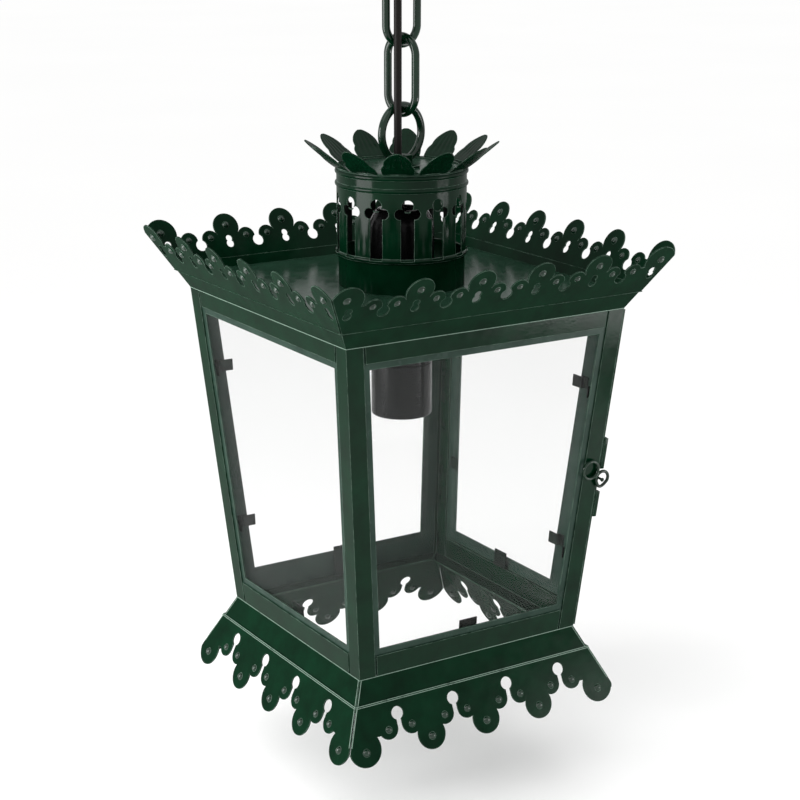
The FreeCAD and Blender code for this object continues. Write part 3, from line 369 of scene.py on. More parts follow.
def scalloped(name, half, spread, base, lobes, fills, gaps, holes, dimples):
    """A pierced strip of sheet with mitred ends and pressed dimples; also gives the dimples' faces.

    Lobes and holes are (x, y, radius), fills (x, y, width, height), gaps (x, y, radius, half width of
    the neck) and dimples (x, y, share of the usual size), all in millimetres.
    """
    thick = sizes().strip
    spare = 0.04
    strip = block(name, (0, base * MM / 2, thick / 2), (2 * half + spare, base * MM, thick))
    carved(strip, punch(lobes + fills, thick, name + "_lobes"), "UNION")
    neck = 40.0
    cuts = [(x, y, radius) for x, y, radius, _ in gaps]
    cuts += [(x, y + neck / 2, 2 * half_neck, neck) for x, y, _, half_neck in gaps]
    carved(strip, punch(cuts + holes, 4 * thick, name + "_cuts"), "DIFFERENCE")
    for sign in (-1, 1):
        choose(strip)
        bpy.ops.object.mode_set(mode="EDIT")
        bpy.ops.mesh.select_all(action="SELECT")
        normal = Vector((sign * 1.0, -spread, 0.0)).normalized()
        bpy.ops.mesh.bisect(plane_co=(sign * half, 0, 0), plane_no=normal, clear_outer=True, use_fill=True)
        bpy.ops.object.mode_set(mode="OBJECT")
    outward(strip)
    bpy.ops.object.mode_set(mode="EDIT")
    bpy.ops.mesh.select_all(action="SELECT")
    bpy.ops.mesh.dissolve_limited(angle_limit=math.radians(1))
    bpy.ops.object.mode_set(mode="OBJECT")
    bevelled(strip, 0.22 * MM, 50)
    pips = []
    for x, y, scale in dimples:
        deselect()
        radius = sizes().dimple * scale
        bpy.ops.mesh.primitive_uv_sphere_add(
            segments=20, ring_count=12, radius=radius, location=(x * MM, y * MM, thick / 2)
        )
        bpy.context.active_object.scale = (1.0, 1.0, 0.85)
        pips.append(settled(made(name + "_pip")))
    plain = len(strip.data.polygons)
    smoothed(joined([strip] + pips, name), 40)
    strip = modified(bpy.context.active_object, "WEIGHTED_NORMAL", keep_sharp=True)
    return strip, range(plain, len(strip.data.polygons))


def both(x, *rest):
    """The same shape on the left and on the right."""
    return [(-x, *rest), (x, *rest)]


def finished(obj, material, body, slot, *nodes):
    """Gives a piece its finish and its body, and hides the nodes that it stands for."""
    obj.data.materials.clear()
    obj.data.materials.append(material)
    if nodes:
        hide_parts(*nodes)
    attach(obj, body)
    return obj


def refinished(obj, material, faces):
    """Gives some of a piece's faces another finish."""
    obj.data.materials.append(material)
    for index in faces:
        obj.data.polygons[index].material_index = len(obj.data.materials) - 1
    return obj


# Finishes


def finish_tree(name):
    """A new material with its node tree, its shader and its object coordinates."""
    material = bpy.data.materials.new(name)
    material.use_nodes = True
    tree = material.node_tree
    shader = tree.nodes["Principled BSDF"]
    place = tree.nodes.new("ShaderNodeTexCoord").outputs["Object"]
    return material, tree, shader, place


def noise(tree, place, scale, detail, roughness=0.5):
    """Cloudy values between 0 and 1."""
    node = tree.nodes.new("ShaderNodeTexNoise")
    node.inputs["Scale"].default_value = scale
    node.inputs["Detail"].default_value = detail
    node.inputs["Roughness"].default_value = roughness
    tree.links.new(place, node.inputs["Vector"])
    return node.outputs["Fac"]


def ramp(tree, source, stops):
    """Colours along a value, from stops of a position and a colour."""
    node = tree.nodes.new("ShaderNodeValToRGB")
    elements = node.color_ramp.elements
    while len(elements) < len(stops):
        elements.new(0.5)
    for element, (position, colour) in zip(elements, stops):
        element.position = position
        element.color = colour
    tree.links.new(source, node.inputs["Fac"])
    return node.outputs["Color"]


def grey(value):
    return (value, value, value, 1.0)


def bumped(tree, shader, height, strength, depth):
    """Presses a fine relief into a shader's normal."""
    node = tree.nodes.new("ShaderNodeBump")
    node.inputs["Strength"].default_value = strength
    node.inputs["Distance"].default_value = depth
    tree.links.new(height, node.inputs["Height"])
    tree.links.new(node.outputs["Normal"], shader.inputs["Normal"])
    return node


def edge_mask(tree, radius, wear_and_highlight_breakup):
    """Bright where a surface turns over an edge, broken up by wear, for a pale edge that is partly worn paint and
    partly painted highlight; also gives the rounded normal.
    """
    turned = tree.nodes.new("ShaderNodeBevel")
    turned.samples = 6
    turned.inputs["Radius"].default_value = radius
    flat = tree.nodes.new("ShaderNodeNewGeometry")
    likeness = tree.nodes.new("ShaderNodeVectorMath")
    likeness.operation = "DOT_PRODUCT"
    tree.links.new(turned.outputs["Normal"], likeness.inputs[0])
    tree.links.new(flat.outputs["Normal"], likeness.inputs[1])
    edge = ramp(tree, likeness.outputs["Value"], ((0.84, grey(1.0)), (0.97, grey(0.0))))
    share = tree.nodes.new("ShaderNodeMath")
    share.operation = "MULTIPLY"
    tree.links.new(edge, share.inputs[0])
    tree.links.new(wear_and_highlight_breakup, share.inputs[1])
    return share.outputs["Value"], turned.outputs["Normal"]


def enamel_finish(name, top, deep, edge, gloss=(0.09, 0.18), coat=0.26):
    """Brushed-on gloss paint: cloudy depth, pale edges that are partly worn paint and partly painted highlight, a
    little orange peel under a clear coat.
    """
    material, tree, shader, place = finish_tree(name)
    brighter = tuple(min(1.0, 1.35 * c) for c in top)
    cloud = noise(tree, place, 55.0, 5.0, 0.6)
    tone = ramp(tree, cloud, ((0.30, deep), (0.62, top), (0.86, brighter)))
    wear_and_highlight_noise = noise(tree, place, 140.0, 4.0, 0.65)
    wear_and_highlight_breakup = ramp(tree, wear_and_highlight_noise, ((0.34, grey(0.15)), (0.58, grey(1.0))))
    mask, normal = edge_mask(tree, 0.7 * MM, wear_and_highlight_breakup)
    # Partly painted highlight: the pale edge colour is mixed in along the edges, standing for worn paint and for
    # light caught on them.
    paint_mix = tree.nodes.new("ShaderNodeMix")
    paint_mix.data_type = "RGBA"
    paint_mix.inputs["B"].default_value = edge
    tree.links.new(mask, paint_mix.inputs["Factor"])
    tree.links.new(tone, paint_mix.inputs["A"])
    tree.links.new(paint_mix.outputs["Result"], shader.inputs["Base Color"])
    sheen = noise(tree, place, 130.0, 3.0)
    rough = ramp(tree, sheen, ((0.3, grey(gloss[0])), (0.7, grey(gloss[1]))))
    tree.links.new(rough, shader.inputs["Coat Roughness"])
    peel = noise(tree, place, 420.0, 2.0)
    bump = bumped(tree, shader, peel, 0.06, 0.4 * MM)
    tree.links.new(normal, bump.inputs["Normal"])
    tree.links.new(bump.outputs["Normal"], shader.inputs["Coat Normal"])
    shader.inputs["Roughness"].default_value = 0.5
    shader.inputs["Specular IOR Level"].default_value = 0.0
    shader.inputs["Coat Weight"].default_value = coat
    return material


def edge_finish(name, colour, deep):
    """A pale line along a seam, partly paint rubbed thin and partly a painted highlight of light caught on the
    edge, so that the line is pale in places.
    """
    material, tree, shader, place = finish_tree(name)
    wear_and_highlight_noise = noise(tree, place, 160.0, 4.0, 0.65)
    # Partly painted highlight: the bead's pale tone stands partly for rubbed paint and partly for light caught on
    # the edge.
    tone = ramp(tree, wear_and_highlight_noise, ((0.24, deep), (0.42, colour), (0.8, colour)))
    tree.links.new(tone, shader.inputs["Base Color"])
    rough = ramp(tree, wear_and_highlight_noise, ((0.3, grey(0.45)), (0.7, grey(0.22))))
    tree.links.new(rough, shader.inputs["Roughness"])
    bumped(tree, shader, wear_and_highlight_noise, 0.3, 0.3 * MM)
    return material


def moulded_finish(name, colour, gloss, grain):
    """Moulded plastic or rubber with a fine surface grain."""
    material, tree, shader, place = finish_tree(name)
    lighter = tuple(min(1.0, 1.3 * c + 0.001) for c in colour[:3]) + (1.0,)
    speck = noise(tree, place, 900.0, 3.0)
    tone = ramp(tree, speck, ((0.35, colour), (0.75, lighter)))
    tree.links.new(tone, shader.inputs["Base Color"])
    patch = noise(tree, place, 90.0, 2.0)
    rough = ramp(tree, patch, ((0.3, grey(gloss)), (0.7, grey(gloss + 0.05))))
    tree.links.new(rough, shader.inputs["Roughness"])
    bumped(tree, shader, speck, grain, 0.2 * MM)
    shader.inputs["Specular IOR Level"].default_value = 0.10
    return material


def metal_finish(name, colour, gloss):
    """Bare plated or pressed metal with faint drawing marks."""
    material, tree, shader, place = finish_tree(name)
    shader.inputs["Metallic"].default_value = 1.0
    stretch = tree.nodes.new("ShaderNodeMapping")
    stretch.inputs["Scale"].default_value = (1.0, 1.0, 14.0)
    tree.links.new(place, stretch.inputs["Vector"])
    lines = noise(tree, stretch.outputs["Vector"], 240.0, 4.0, 0.6)
    darker = tuple(0.62 * c for c in colour[:3]) + (1.0,)
    tone = ramp(tree, lines, ((0.3, darker), (0.7, colour)))
    tree.links.new(tone, shader.inputs["Base Color"])
    rough = ramp(tree, lines, ((0.3, grey(gloss + 0.14)), (0.7, grey(gloss))))
    tree.links.new(rough, shader.inputs["Roughness"])
    bumped(tree, shader, lines, 0.12, 0.2 * MM)
    return material


def pane_finish(name, colour):
    """Clear drawn glass with a faint waviness and a thin grey veil, which stands partly for the glass's faint tint
    and partly for painted reflection of the bright room.
    """
    material, tree, shader, place = finish_tree(name)
    drift = noise(tree, place, 9.0, 2.0)
    # Partly painted reflection: the veil's grey stands partly for tint and partly for reflections of the bright
    # room.
    tint_and_painted_reflection = ramp(tree, drift, ((0.3, colour), (0.7, grey(0.26))))
    tree.links.new(tint_and_painted_reflection, shader.inputs["Base Color"])
    dust = noise(tree, place, 60.0, 4.0)
    rough = ramp(tree, dust, ((0.4, grey(0.0)), (0.8, grey(0.03))))
    tree.links.new(rough, shader.inputs["Roughness"])
    bumped(tree, shader, drift, 0.02, 0.5 * MM)
    shader.inputs["Alpha"].default_value = 0.042
    return material


FINISHES = {}


def finish(name):
    """A finish that the finishes operator has mixed."""
    return FINISHES[name]


class LANTERN_OT_finishes(bpy.types.Operator):
    """Mix the finishes and paint every part of the frame"""

    bl_idname = "lantern.finishes"
    bl_label = "Finishes"

    def execute(self, context):
        group = colours()
        tone = {key: tuple(getattr(group, key)) for key in LanternColours.__annotations__}
        green = (tone["enamel"], tone["enamel_deep"], tone["edge"])
        bare = (tone["enamel"], tone["enamel"], tone["enamel"])
        roof = (tone["roof"], tone["roof_deep"], tone["edge"])
        lining = (tone["lining"], tone["lining_deep"], tone["edge"])
        clip = (tone["clip"], tone["enamel_deep"], tone["clip"])
        FINISHES["paint"] = enamel_finish("green_enamel", *green)
        FINISHES["pip"] = enamel_finish("burnished_pip", *bare, gloss=(0.04, 0.10), coat=1.0)
        FINISHES["wire"] = enamel_finish("wire_enamel", *green, gloss=(0.06, 0.13), coat=0.7)
        # Painted light: the roof plate and cap take the paler copy of the green enamel.
        FINISHES["sheet"] = enamel_finish("flat_sheet", *roof, gloss=(0.12, 0.25), coat=0.4)
        FINISHES["cornice"] = enamel_finish("cornice_enamel", *green, gloss=(0.12, 0.24), coat=0.12)
        FINISHES["lining"] = enamel_finish("lining_paint", *lining, gloss=(0.15, 0.30))
        FINISHES["inside"] = moulded_finish("dark_inside", tone["inside"], 0.6, 0.1)
        FINISHES["edge"] = edge_finish("rubbed_edge", tone["edge"], tone["enamel"])
        FINISHES["glass"] = pane_finish("clear_pane", tone["glass"])
        FINISHES["holder"] = moulded_finish("black_holder", tone["holder"], 0.22, 0.05)
        FINISHES["cable"] = moulded_finish("cable_sheath", tone["cable"], 0.38, 0.15)
        FINISHES["clips"] = enamel_finish("clip_paint", *clip, gloss=(0.3, 0.45))
        FINISHES["shell"] = metal_finish("pressed_brass", tone["brass"], 0.22)
        FINISHES["steel"] = metal_finish("plated_steel", tone["steel"], 0.28)
        FINISHES["insulator"] = moulded_finish("insulator_block", tone["insulator"], 0.3, 0.05)
        slots = {part["node"]: part["material_slot"] for part in frame["record"]["subparts"]}
        # Painted light: the glazing frames take the paler, lit copy of the green enamel.
        slots.update({name: "lining" for name in slots if "glazing_frame" in name})
        slots.update(roof_plate="sheet", cap_disc="sheet", cornice_band="cornice", skirt_band="cornice")
        for name, obj in frame["nodes"].items():
            obj.data.materials.clear()
            obj.data.materials.append(finish(slots[name]))
        return {"FINISHED"}


class LANTERN_OT_chain(bpy.types.Operator):
    """Form the two links and the ring from bent round wire"""

    bl_idname = "lantern.chain"
    bl_label = "Chain"

    def link(self, node, turn):
        size = sizes()
        low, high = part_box(node)
        middle = (low.z + high.z) / 2
        bend = (size.link_width - size.wire) / 2
        stretch = (size.link_length - size.wire) / 2 - bend
        deselect()
        bpy.ops.mesh.primitive_torus_add(
            major_radius=bend, minor_radius=size.wire / 2, major_segments=72, minor_segments=24,
            rotation=(math.pi / 2, 0, 0),
        )
        obj = settled(made(node + "_wire"))
        for vertex in obj.data.vertices:
            if abs(vertex.co.z) > 0.01 * MM:
                vertex.co.z += math.copysign(stretch, vertex.co.z)
        bpy.ops.object.mode_set(mode="EDIT")
        bpy.ops.mesh.select_all(action="SELECT")
        bpy.ops.mesh.subdivide(number_cuts=1)
        bpy.ops.object.mode_set(mode="OBJECT")
        obj.data.transform(Matrix.Translation((0, 0, middle)) @ Matrix.Rotation(math.radians(turn), 4, "Z"))
        return smoothed(obj, 60)

    def execute(self, context):
        size = sizes()
        # The links and the ring are turned about the vertical as in the photograph, in degrees.
        upper = self.link("chain_link_upper", 3.0)
        finished(upper, finish("wire"), "link_upper", "paint", "chain_link_upper")
        lower = self.link("chain_link_lower", -75.0)
        finished(lower, finish("wire"), "link_lower", "paint", "chain_link_lower")
        deselect()
        bpy.ops.mesh.primitive_torus_add(
            major_radius=(size.ring - size.wire) / 2, minor_radius=size.wire / 2,
            major_segments=120, minor_segments=28,
            location=(0, 0, RING_MIDDLE), rotation=(math.pi / 2, 0, math.radians(12.0)),
        )
        ring = smoothed(settled(made("ring_wire")), 60)
        finished(ring, finish("wire"), "ring", "paint", "hanging_ring")
        return {"FINISHED"}


class LANTERN_OT_cable(bpy.types.Operator):
    """Run the supply cable beside the chain, one length to each joint of the chain"""

    bl_idname = "lantern.cable"
    bl_label = "Supply Cable"

    def run(self, name, path):
        """A round tube drawn out along a path of points."""
        radius = sizes().cable / 2
        deselect()
        bpy.ops.mesh.primitive_circle_add(vertices=24, radius=radius, fill_type="NGON", location=path[0])
        obj = settled(made(name))
        bpy.ops.object.mode_set(mode="EDIT")
        bpy.ops.mesh.select_all(action="SELECT")
        for before, here in zip(path, path[1:]):
            step = Vector(here) - Vector(before)
            bpy.ops.mesh.extrude_region_move(TRANSFORM_OT_translate={"value": tuple(step)})
        bpy.ops.object.mode_set(mode="OBJECT")
        return smoothed(outward(obj), 50)

    def execute(self, context):
        low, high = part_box("supply_cable")
        x = low.x + sizes().cable / 2
        y = low.y + sizes().cable / 2
        joints = {joint["name"]: joint["pos_m"][2] for joint in frame["joints"]}
        heights = [joints[name] for name in ("hook_swing", "link_swing", "ring_swing", "loop_swing")]
        cuts = [high.z] + [(a + b) / 2 for a, b in zip(heights, heights[1:])] + [CAP_TOP + 3.0 * MM]
        pieces = []
        steps = 14
        for index, (top, bottom) in enumerate(zip(cuts, cuts[1:])):
            path = [(x, y, top + (bottom - top) * k / steps) for k in range(steps + 1)]
            piece = self.run("cable_run_%d" % (index + 1), path)
            piece.data.materials.append(finish("cable"))
            pieces.append(piece)
        # Inside the chimney two equal and opposite bends bring the cable over the cord grip.
        bend = 26.0 * MM
        reach = math.hypot(x, y)
        angle = math.acos(1 - reach / (2 * bend))
        bend_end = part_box("cord_grip")[1].z + 3.0 * MM
        bend_start = bend_end + 2 * bend * math.sin(angle)
        tail = [(x, y, cuts[-1]), (x, y, bend_start)]
        arc = []
        for k in range(17):
            a = angle * k / 16
            arc.append((bend * (1 - math.cos(a)) / reach, bend * math.sin(a)))
        tail += [(x * (1 - share), y * (1 - share), bend_start - drop) for share, drop in arc[1:]]
        tail += [(x * share, y * share, bend_end + rise) for share, rise in arc[-2::-1]]
        tail.append((0, 0, low.z))
        end = self.run("cable_tail", tail)
        end.data.materials.append(finish("cable"))
        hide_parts("supply_cable")
        for index, piece in enumerate(pieces):
            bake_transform(piece)
        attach(end, "lantern")
        return {"FINISHED"}


class LANTERN_OT_gallery(bpy.types.Operator):
    """Cut the pierced and scalloped gallery strips round the roof"""

    bl_idname = "lantern.gallery"
    bl_label = "Gallery Strips"

    def execute(self, context):
        lean = math.radians(GALLERY_LEAN)
        half = sizes().body_top_half + GALLERY_LAP * math.sin(lean)
        height = BODY_TOP + GALLERY_LAP * math.cos(lean)
        base = 18.9
        units = [-67.5, -22.5, 22.5, 67.5]
        lobes = [(s, 27.2, 9.8) for s in units] + both(118.0, 25.7, 11.5)
        lobes += [(s + d, base, 6.4) for s in units for d in (-14.2, 14.2)] + both(98.3, base, 6.4)
        fills = [(s, 19.5, 17.0, 5.4) for s in units] + both(111.0, 19.0, 22.0, 5.2)
        gaps = [(s, 14.9, 4.1, 1.9) for s in (-90.0, -45.0, 0.0, 45.0, 90.0)]
        holes = [(s, y, r) for s in units + [-115.0, 115.0] for y, r in ((18.2, 2.4), (14.2, 2.8))]
        dimples = [(s, 28.4, 1.0) for s in units]
        dimples += [(s + d, 19.6, 0.85) for s in units for d in (-14.0, 14.0)]
        dimples += both(118.5, 27.0, 1.0) + both(98.6, 19.4, 0.85)
        spread = math.sin(lean)
        strip, pips = scalloped("gallery_strip", half, spread, base, lobes, fills, gaps, holes, dimples)
        for turn, side in enumerate(SIDES):
            matrix = side_matrix(turn, half, height, GALLERY_LEAN)
            piece = copied(strip, "gallery_strip_cut_" + side, matrix)
            finished(piece, finish("cornice"), "lantern", "paint", "gallery_strip_" + side)
            refinished(piece, finish("pip"), pips)
        bpy.data.objects.remove(strip)
        return {"FINISHED"}


class LANTERN_OT_skirt(bpy.types.Operator):
    """Cut the scalloped strips that hang from the skirt"""

    bl_idname = "lantern.skirt"
    bl_label = "Skirt Strips"

    def execute(self, context):
        lean = math.radians(SKIRT_LEAN)
        half = sizes().body_bottom_half + SKIRT_LAP * math.sin(lean)
        height = BODY_BOTTOM - SKIRT_LAP * math.cos(lean)
        base = 18.5
        units = [-44.0, 0.0, 44.0]
        lobes = [(s, 29.0, 10.6) for s in units] + both(95.2, 27.6, 12.0)
        lobes += [(s + d, base, 7.3) for s in units for d in (-13.0, 13.0)] + both(75.0, base, 7.3)
        fills = [(s, 19.0, 14.0, 4.0) for s in units] + both(88.0, 19.0, 22.0, 6.0)
        gaps = [(s, 10.0, 4.4, 1.7) for s in (-66.0, -22.0, 22.0, 66.0)]
        dimples = [(s, 30.6, 1.05) for s in units]
        dimples += [(s + d, 19.4, 0.95) for s in units for d in (-13.0, 13.0)]
        dimples += both(95.0, 30.0, 1.05) + both(75.0, 19.4, 0.95)
        spread = math.sin(lean)
        strip, pips = scalloped("skirt_strip", half, spread, base, lobes, fills, gaps, [], dimples)
        hang = Matrix.Rotation(math.pi, 4, "X") @ Matrix.Translation((0, 0, -sizes().strip))
        for turn, side in enumerate(SIDES):
            matrix = side_matrix(turn, half, height, -SKIRT_LEAN) @ hang
            piece = copied(strip, "skirt_strip_cut_" + side, matrix)
            finished(piece, finish("cornice"), "lantern", "paint", "skirt_strip_" + side)
            refinished(piece, finish("pip"), pips)
        bpy.data.objects.remove(strip)
        return {"FINISHED"}


class LANTERN_OT_crown(bpy.types.Operator):
    """Raise the crown of veined petals on the cap"""

    bl_idname = "lantern.crown"
    bl_label = "Petal Crown"

    def execute(self, context):
        # Distance from the axis, rise and half width along a petal, in millimetres
        stations = ((43.4, 0.4, 10.4), (46.5, 2.6, 10.9), (49.5, 4.8, 11.2), (51.6, 6.4, 10.3))
        stations += ((52.6, 7.3, 8.9), (54.8, 9.1, 9.4), (57.6, 11.3, 8.5), (60.2, 13.3, 6.9))
        stations += ((62.4, 15.0, 4.9), (64.0, 16.2, 2.8), (64.8, 16.8, 0.9))
        last = len(stations) - 1
        deselect()
        bpy.ops.mesh.primitive_grid_add(x_subdivisions=20, y_subdivisions=last, size=2.0)
        petal = made("petal")
        for vertex in petal.data.vertices:
            row = round((vertex.co.y + 1) / 2 * last)
            across = vertex.co.x
            radius, rise, half = stations[row]
            fade = min(1.0, (last - row) / 5)
            cup = 0.5 * across * across * min(1.0, row / 4) * fade
            vein = 0.26 * math.cos(across * 5.5 * math.pi) * min(1.0, row / 3) * fade
            vertex.co = (radius * MM, across * half * MM, (rise + cup + vein) * MM)
        outward(petal)
        modified(petal, "SOLIDIFY", thickness=0.8 * MM, offset=0.0)
        modified(petal, "SUBSURF", levels=1, render_levels=1)
        petals = []
        count = 12
        first_turn = -125.0
        for index in range(count):
            turn = Matrix.Rotation(math.radians(first_turn + 360.0 / count * index), 4, "Z")
            petals.append(copied(petal, "petal_%d" % index, Matrix.Translation((0, 0, CAP_TOP)) @ turn))
        bpy.data.objects.remove(petal)
        seat = CAP_TOP / MM
        profile = [(38.1, seat), (44.3, seat), (44.6, seat + 0.5), (44.2, seat + 0.9), (38.4, seat + 0.9)]
        rim = lathed("crown_rim", profile, 144)
        crown = smoothed(joined([rim] + petals, "petal_crown_leaves"), 45)
        finished(crown, finish("paint"), "lantern", "paint", "petal_crown")
        return {"FINISHED"}


class LANTERN_OT_chimney(bpy.types.Operator):
    """Roll the slotted chimney, its beads and its collar"""

    bl_idname = "lantern.chimney"
    bl_label = "Chimney"

    def slot(self, radius, sill, turn):
        """The punches of one slot: three round lobes over a tall opening."""
        tools = []
        deep = 10.0 * MM
        tall = 31.8
        for x, z, lobe in ((0.0, 36.1, 3.9), (5.0, 30.8, 3.5), (-5.0, 30.8, 3.5)):
            middle = (radius * MM, x * MM, (sill + z) * MM)
            tools.append(rod("slot_lobe", 28, middle, lobe * MM, deep, (0, math.pi / 2, 0)))
        middle = (radius * MM, 0, (sill + tall / 2) * MM)
        tools.append(block("slot_body", middle, (deep, 8.7 * MM, tall * MM)))
        for tool in tools:
            tool.data.transform(turn)
        return tools

    def execute(self, context):
        radius = sizes().chimney / MM
        wall = radius - 0.9
        top = CAP_TOP / MM - 1.0
        foot = top - 57.0
        bead_out = 1.1
        bead_half = 1.5
        profile = [(wall, foot), (radius, foot)]
        for drop in (55.2, 9.4, 1.3):
            for k in range(7):
                a = math.pi * k / 6
                profile.append((radius + bead_out * math.sin(a), top - drop - bead_half * math.cos(a)))
        profile += [(radius, top), (wall, top)]
        drum = lathed("chimney_drum", profile, 156)
        slots = 13
        first_turn = -117.0
        shapes = []
        for index in range(slots):
            turn = Matrix.Rotation(math.radians(first_turn + 360.0 * index / slots), 4, "Z")
            shapes += self.slot(radius, top - 55.0, turn)
        carved(drum, joined(shapes, "slot_punch"), "DIFFERENCE")
        finished(smoothed(drum, 32), finish("paint"), "lantern", "paint", "chimney")
        # Painted shade: the drum's inner faces take the near-black finish that stands for the shade inside the
        # chimney.
        inner = (wall + 0.2) * MM
        painted_shade_faces = [face.index for face in drum.data.polygons if math.hypot(*face.center.xy) < inner]
        refinished(drum, finish("inside"), painted_shade_faces)
        low = ROOF_TOP / MM
        collar = [(41.7, low), (42.6, low), (42.6, top - 54.0), (41.7, top - 54.0)]
        tube = lathed("chimney_foot", collar, 156)
        finished(smoothed(tube), finish("paint"), "lantern", "paint", "chimney_collar")
        return {"FINISHED"}


class LANTERN_OT_lampholder(bpy.types.Operator):
    """Turn the black lampholder with its seam, its neck and the cover over its cord grip"""

    bl_idname = "lantern.lampholder"
    bl_label = "Lampholder"

    def turned(self, name, profile, *nodes):
        """A black moulding, turned about the lantern's axis."""
        finished(smoothed(lathed(name, profile, 96)), finish("holder"), "lantern", "holder", *nodes)

    def execute(self, context):
        radius = sizes().holder / MM
        wall = radius - 2.2
        groove = radius - 0.6
        low = HOLDER_BOTTOM / MM
        seam = low + 37.0
        sleeve = [(wall, low), (radius, low), (radius, seam - 0.5), (groove, seam), (wall, seam)]
        self.turned("holder_sleeve", rounded(sleeve, 5, {0: 0.7, 1: 1.5}), "lampholder_sleeve")
        top = seam + 29.0
        neck = 8.0
        bore = 5.1
        cap = [(wall, seam), (groove, seam), (radius, seam + 0.5), (radius, top - 8.0)]
        cap += [(radius - 8.0, top), (neck, top), (neck, top + 6.0), (bore, top + 6.0), (bore, top - 2.2)]
        cap += [(radius - 9.0, top - 2.2), (wall, top - 9.2)]
        self.turned("holder_cap", rounded(cap, 5, {3: 3.0, 4: 3.0, 6: 0.8}), "lampholder_cap")
        # The photograph shows a black body behind the chimney's slots: a cover over the cord grip.
        outer = 22.0
        inner = 20.4
        mouth = 13.2
        foot = low + 93.35
        head = foot + 49.0
        cover = [(inner, foot), (outer, foot), (outer, head - 9.0), (17.0, head), (mouth, head)]
        cover += [(mouth, head - 1.6), (16.2, head - 1.6), (inner, head - 9.6)]
        self.turned("grip_cover", rounded(cover, 5, {2: 4.0, 3: 2.5}))
        return {"FINISHED"}


class LANTERN_OT_latch(bpy.types.Operator):
    """Cut the latch's strip, and bend its wire: a ring and a drop-shaped eye on the pivot"""

    bl_idname = "lantern.latch"
    bl_label = "Latch"

    def strip(self, taper, pivot_place):
        """Two tabs joined by a thin web on the door's edge, and the pivot pin."""
        size = sizes()
        lean = math.atan(math.sin(taper))
        bars = []
        # Lower and upper end, set-back from the door's edge and thickness of each tab and of the web
        tabs = ((82.5, 101.0, 0.0, 3.0), (117.5, 139.5, 0.0, 3.0), (100.0, 118.0, 2.4, 1.0))
        for low, high, inset, thick in tabs:
            level = (low + high) / 2 * MM
            edge = -0.3 * MM - size.body_bottom_half - level * math.sin(taper)
            wide = (6.0 - inset) * MM
            middle = (edge + inset * MM + wide / 2, level, (1.6 + thick / 2) * MM)
            bars.append(block("latch_tab", middle, (wide, (high - low) * MM, thick * MM), (0, 0, lean)))
            bars[-1].data.transform(side_matrix(1, size.body_bottom_half, BODY_BOTTOM, math.degrees(taper)))
        for radius, deep, out in ((0.8, 4.7, 0.05), (1.4, 0.8, 2.6)):
            bars.append(rod("latch_pin", 24, (0, 0, out * MM), radius * MM, deep * MM))
            bars[-1].data.transform(pivot_place)
        strip = joined(bars, "latch_strip")
        bevelled(strip, 0.25 * MM, 50)
        finished(smoothed(strip, 40), finish("paint"), "door", "paint", "latch_plate")

    def execute(self, context):
        size = sizes()
        rise = BODY_TOP - BODY_BOTTOM
        taper = math.atan((size.body_top_half - size.body_bottom_half) / rise)
        level = 111.0 * MM
        pivot = size.body_bottom_half + level * math.sin(taper) + 1.0 * MM
        place = side_matrix(0, size.body_bottom_half, BODY_BOTTOM, math.degrees(taper))
        place = place @ Matrix.Translation((pivot, level, 2.0 * MM))
        self.strip(taper, place)
        wire = 1.1 * MM
        ring_radius = 6.2
        eye_radius = 5.0
        ring = []
        for k in range(48):
            a = 2 * math.pi * k / 48
            ring.append(Vector((-8.4 + ring_radius * math.cos(a), 7.5 + ring_radius * math.sin(a), 0)) * MM)
        eye = []
        for k in range(37):
            a = math.radians(-30 + 240 * k / 36)
            eye.append(Vector((1.8 + eye_radius * math.cos(a), eye_radius * math.sin(a), 0)) * MM)
        first = eye[-1]
        last = eye[0]
        tip = Vector((-0.2, -9.3, 0)) * MM
        for k in range(1, 10):
            t = k / 10
            eye.append(first * (1 - t) ** 2 + tip * 2 * t * (1 - t) + last * t ** 2)
        wires = [wired("latch_ring", ring, wire, True), wired("latch_eye", eye, wire, True)]
        latch = joined(wires, "latch_bent_wire")
        latch.data.transform(place)
        finished(latch, finish("wire"), "latch", "paint", "latch_wire")
        return {"FINISHED"}


class LANTERN_OT_ceiling(bpy.types.Operator):
    """Spin the ceiling canopy and its collar, and bend the hook"""

    bl_idname = "lantern.ceiling"
    bl_label = "Ceiling Fitting"

    def execute(self, context):
        size = sizes()
        shank = size.wire / MM / 2 + 0.1
        dish = [(shank, -18.0), (34.0, -18.0), (45.0, -6.0), (45.0, 0.0), (43.8, 0.0), (43.8, -5.6)]
        dish += [(33.5, -16.8), (shank, -16.8)]
        dish = rounded(dish, 6, {1: 4.0, 2: 3.5, 3: 0.5, 5: 3.0, 6: 3.5})
        canopy = lathed("canopy_dish", dish, 120)
        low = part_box("supply_cable")[0]
        way = (low.x + size.cable / 2, low.y + size.cable / 2, -18 * MM)
        carved(canopy, rod("cable_punch", 32, way, size.cable / 2 + 0.1 * MM, 20 * MM), "DIFFERENCE")
        finished(smoothed(canopy), finish("paint"), "ceiling", "paint", "ceiling_canopy")
        bush = [(shank, -18.0), (5.0, -18.0), (5.0, -22.2), (3.8, -25.0), (shank, -25.0)]
        bush = rounded(bush, 4, {2: 0.8, 3: 0.6})
        collar = lathed("canopy_bush", bush, 48)
        finished(smoothed(collar), finish("paint"), "ceiling", "paint", "canopy_collar")
        turn = Matrix.Rotation(math.radians(93.0), 3, "Z")
        path = [Vector((0, 0, 0)), Vector((0, 0, -15.0)), Vector((0, 0, -26.0))]
        bend = 10.0
        middle = -40.0
        for k in range(49):
            a = math.radians(90.0 + 290.0 * k / 48)
            path.append(Vector((bend * math.cos(a), 0, middle + bend * math.sin(a))))
        hook = wired("hook_wire", [turn @ (point * MM) for point in path], size.wire / 2, False)
        finished(hook, finish("paint"), "ceiling", "paint", "ceiling_hook")
        return {"FINISHED"}


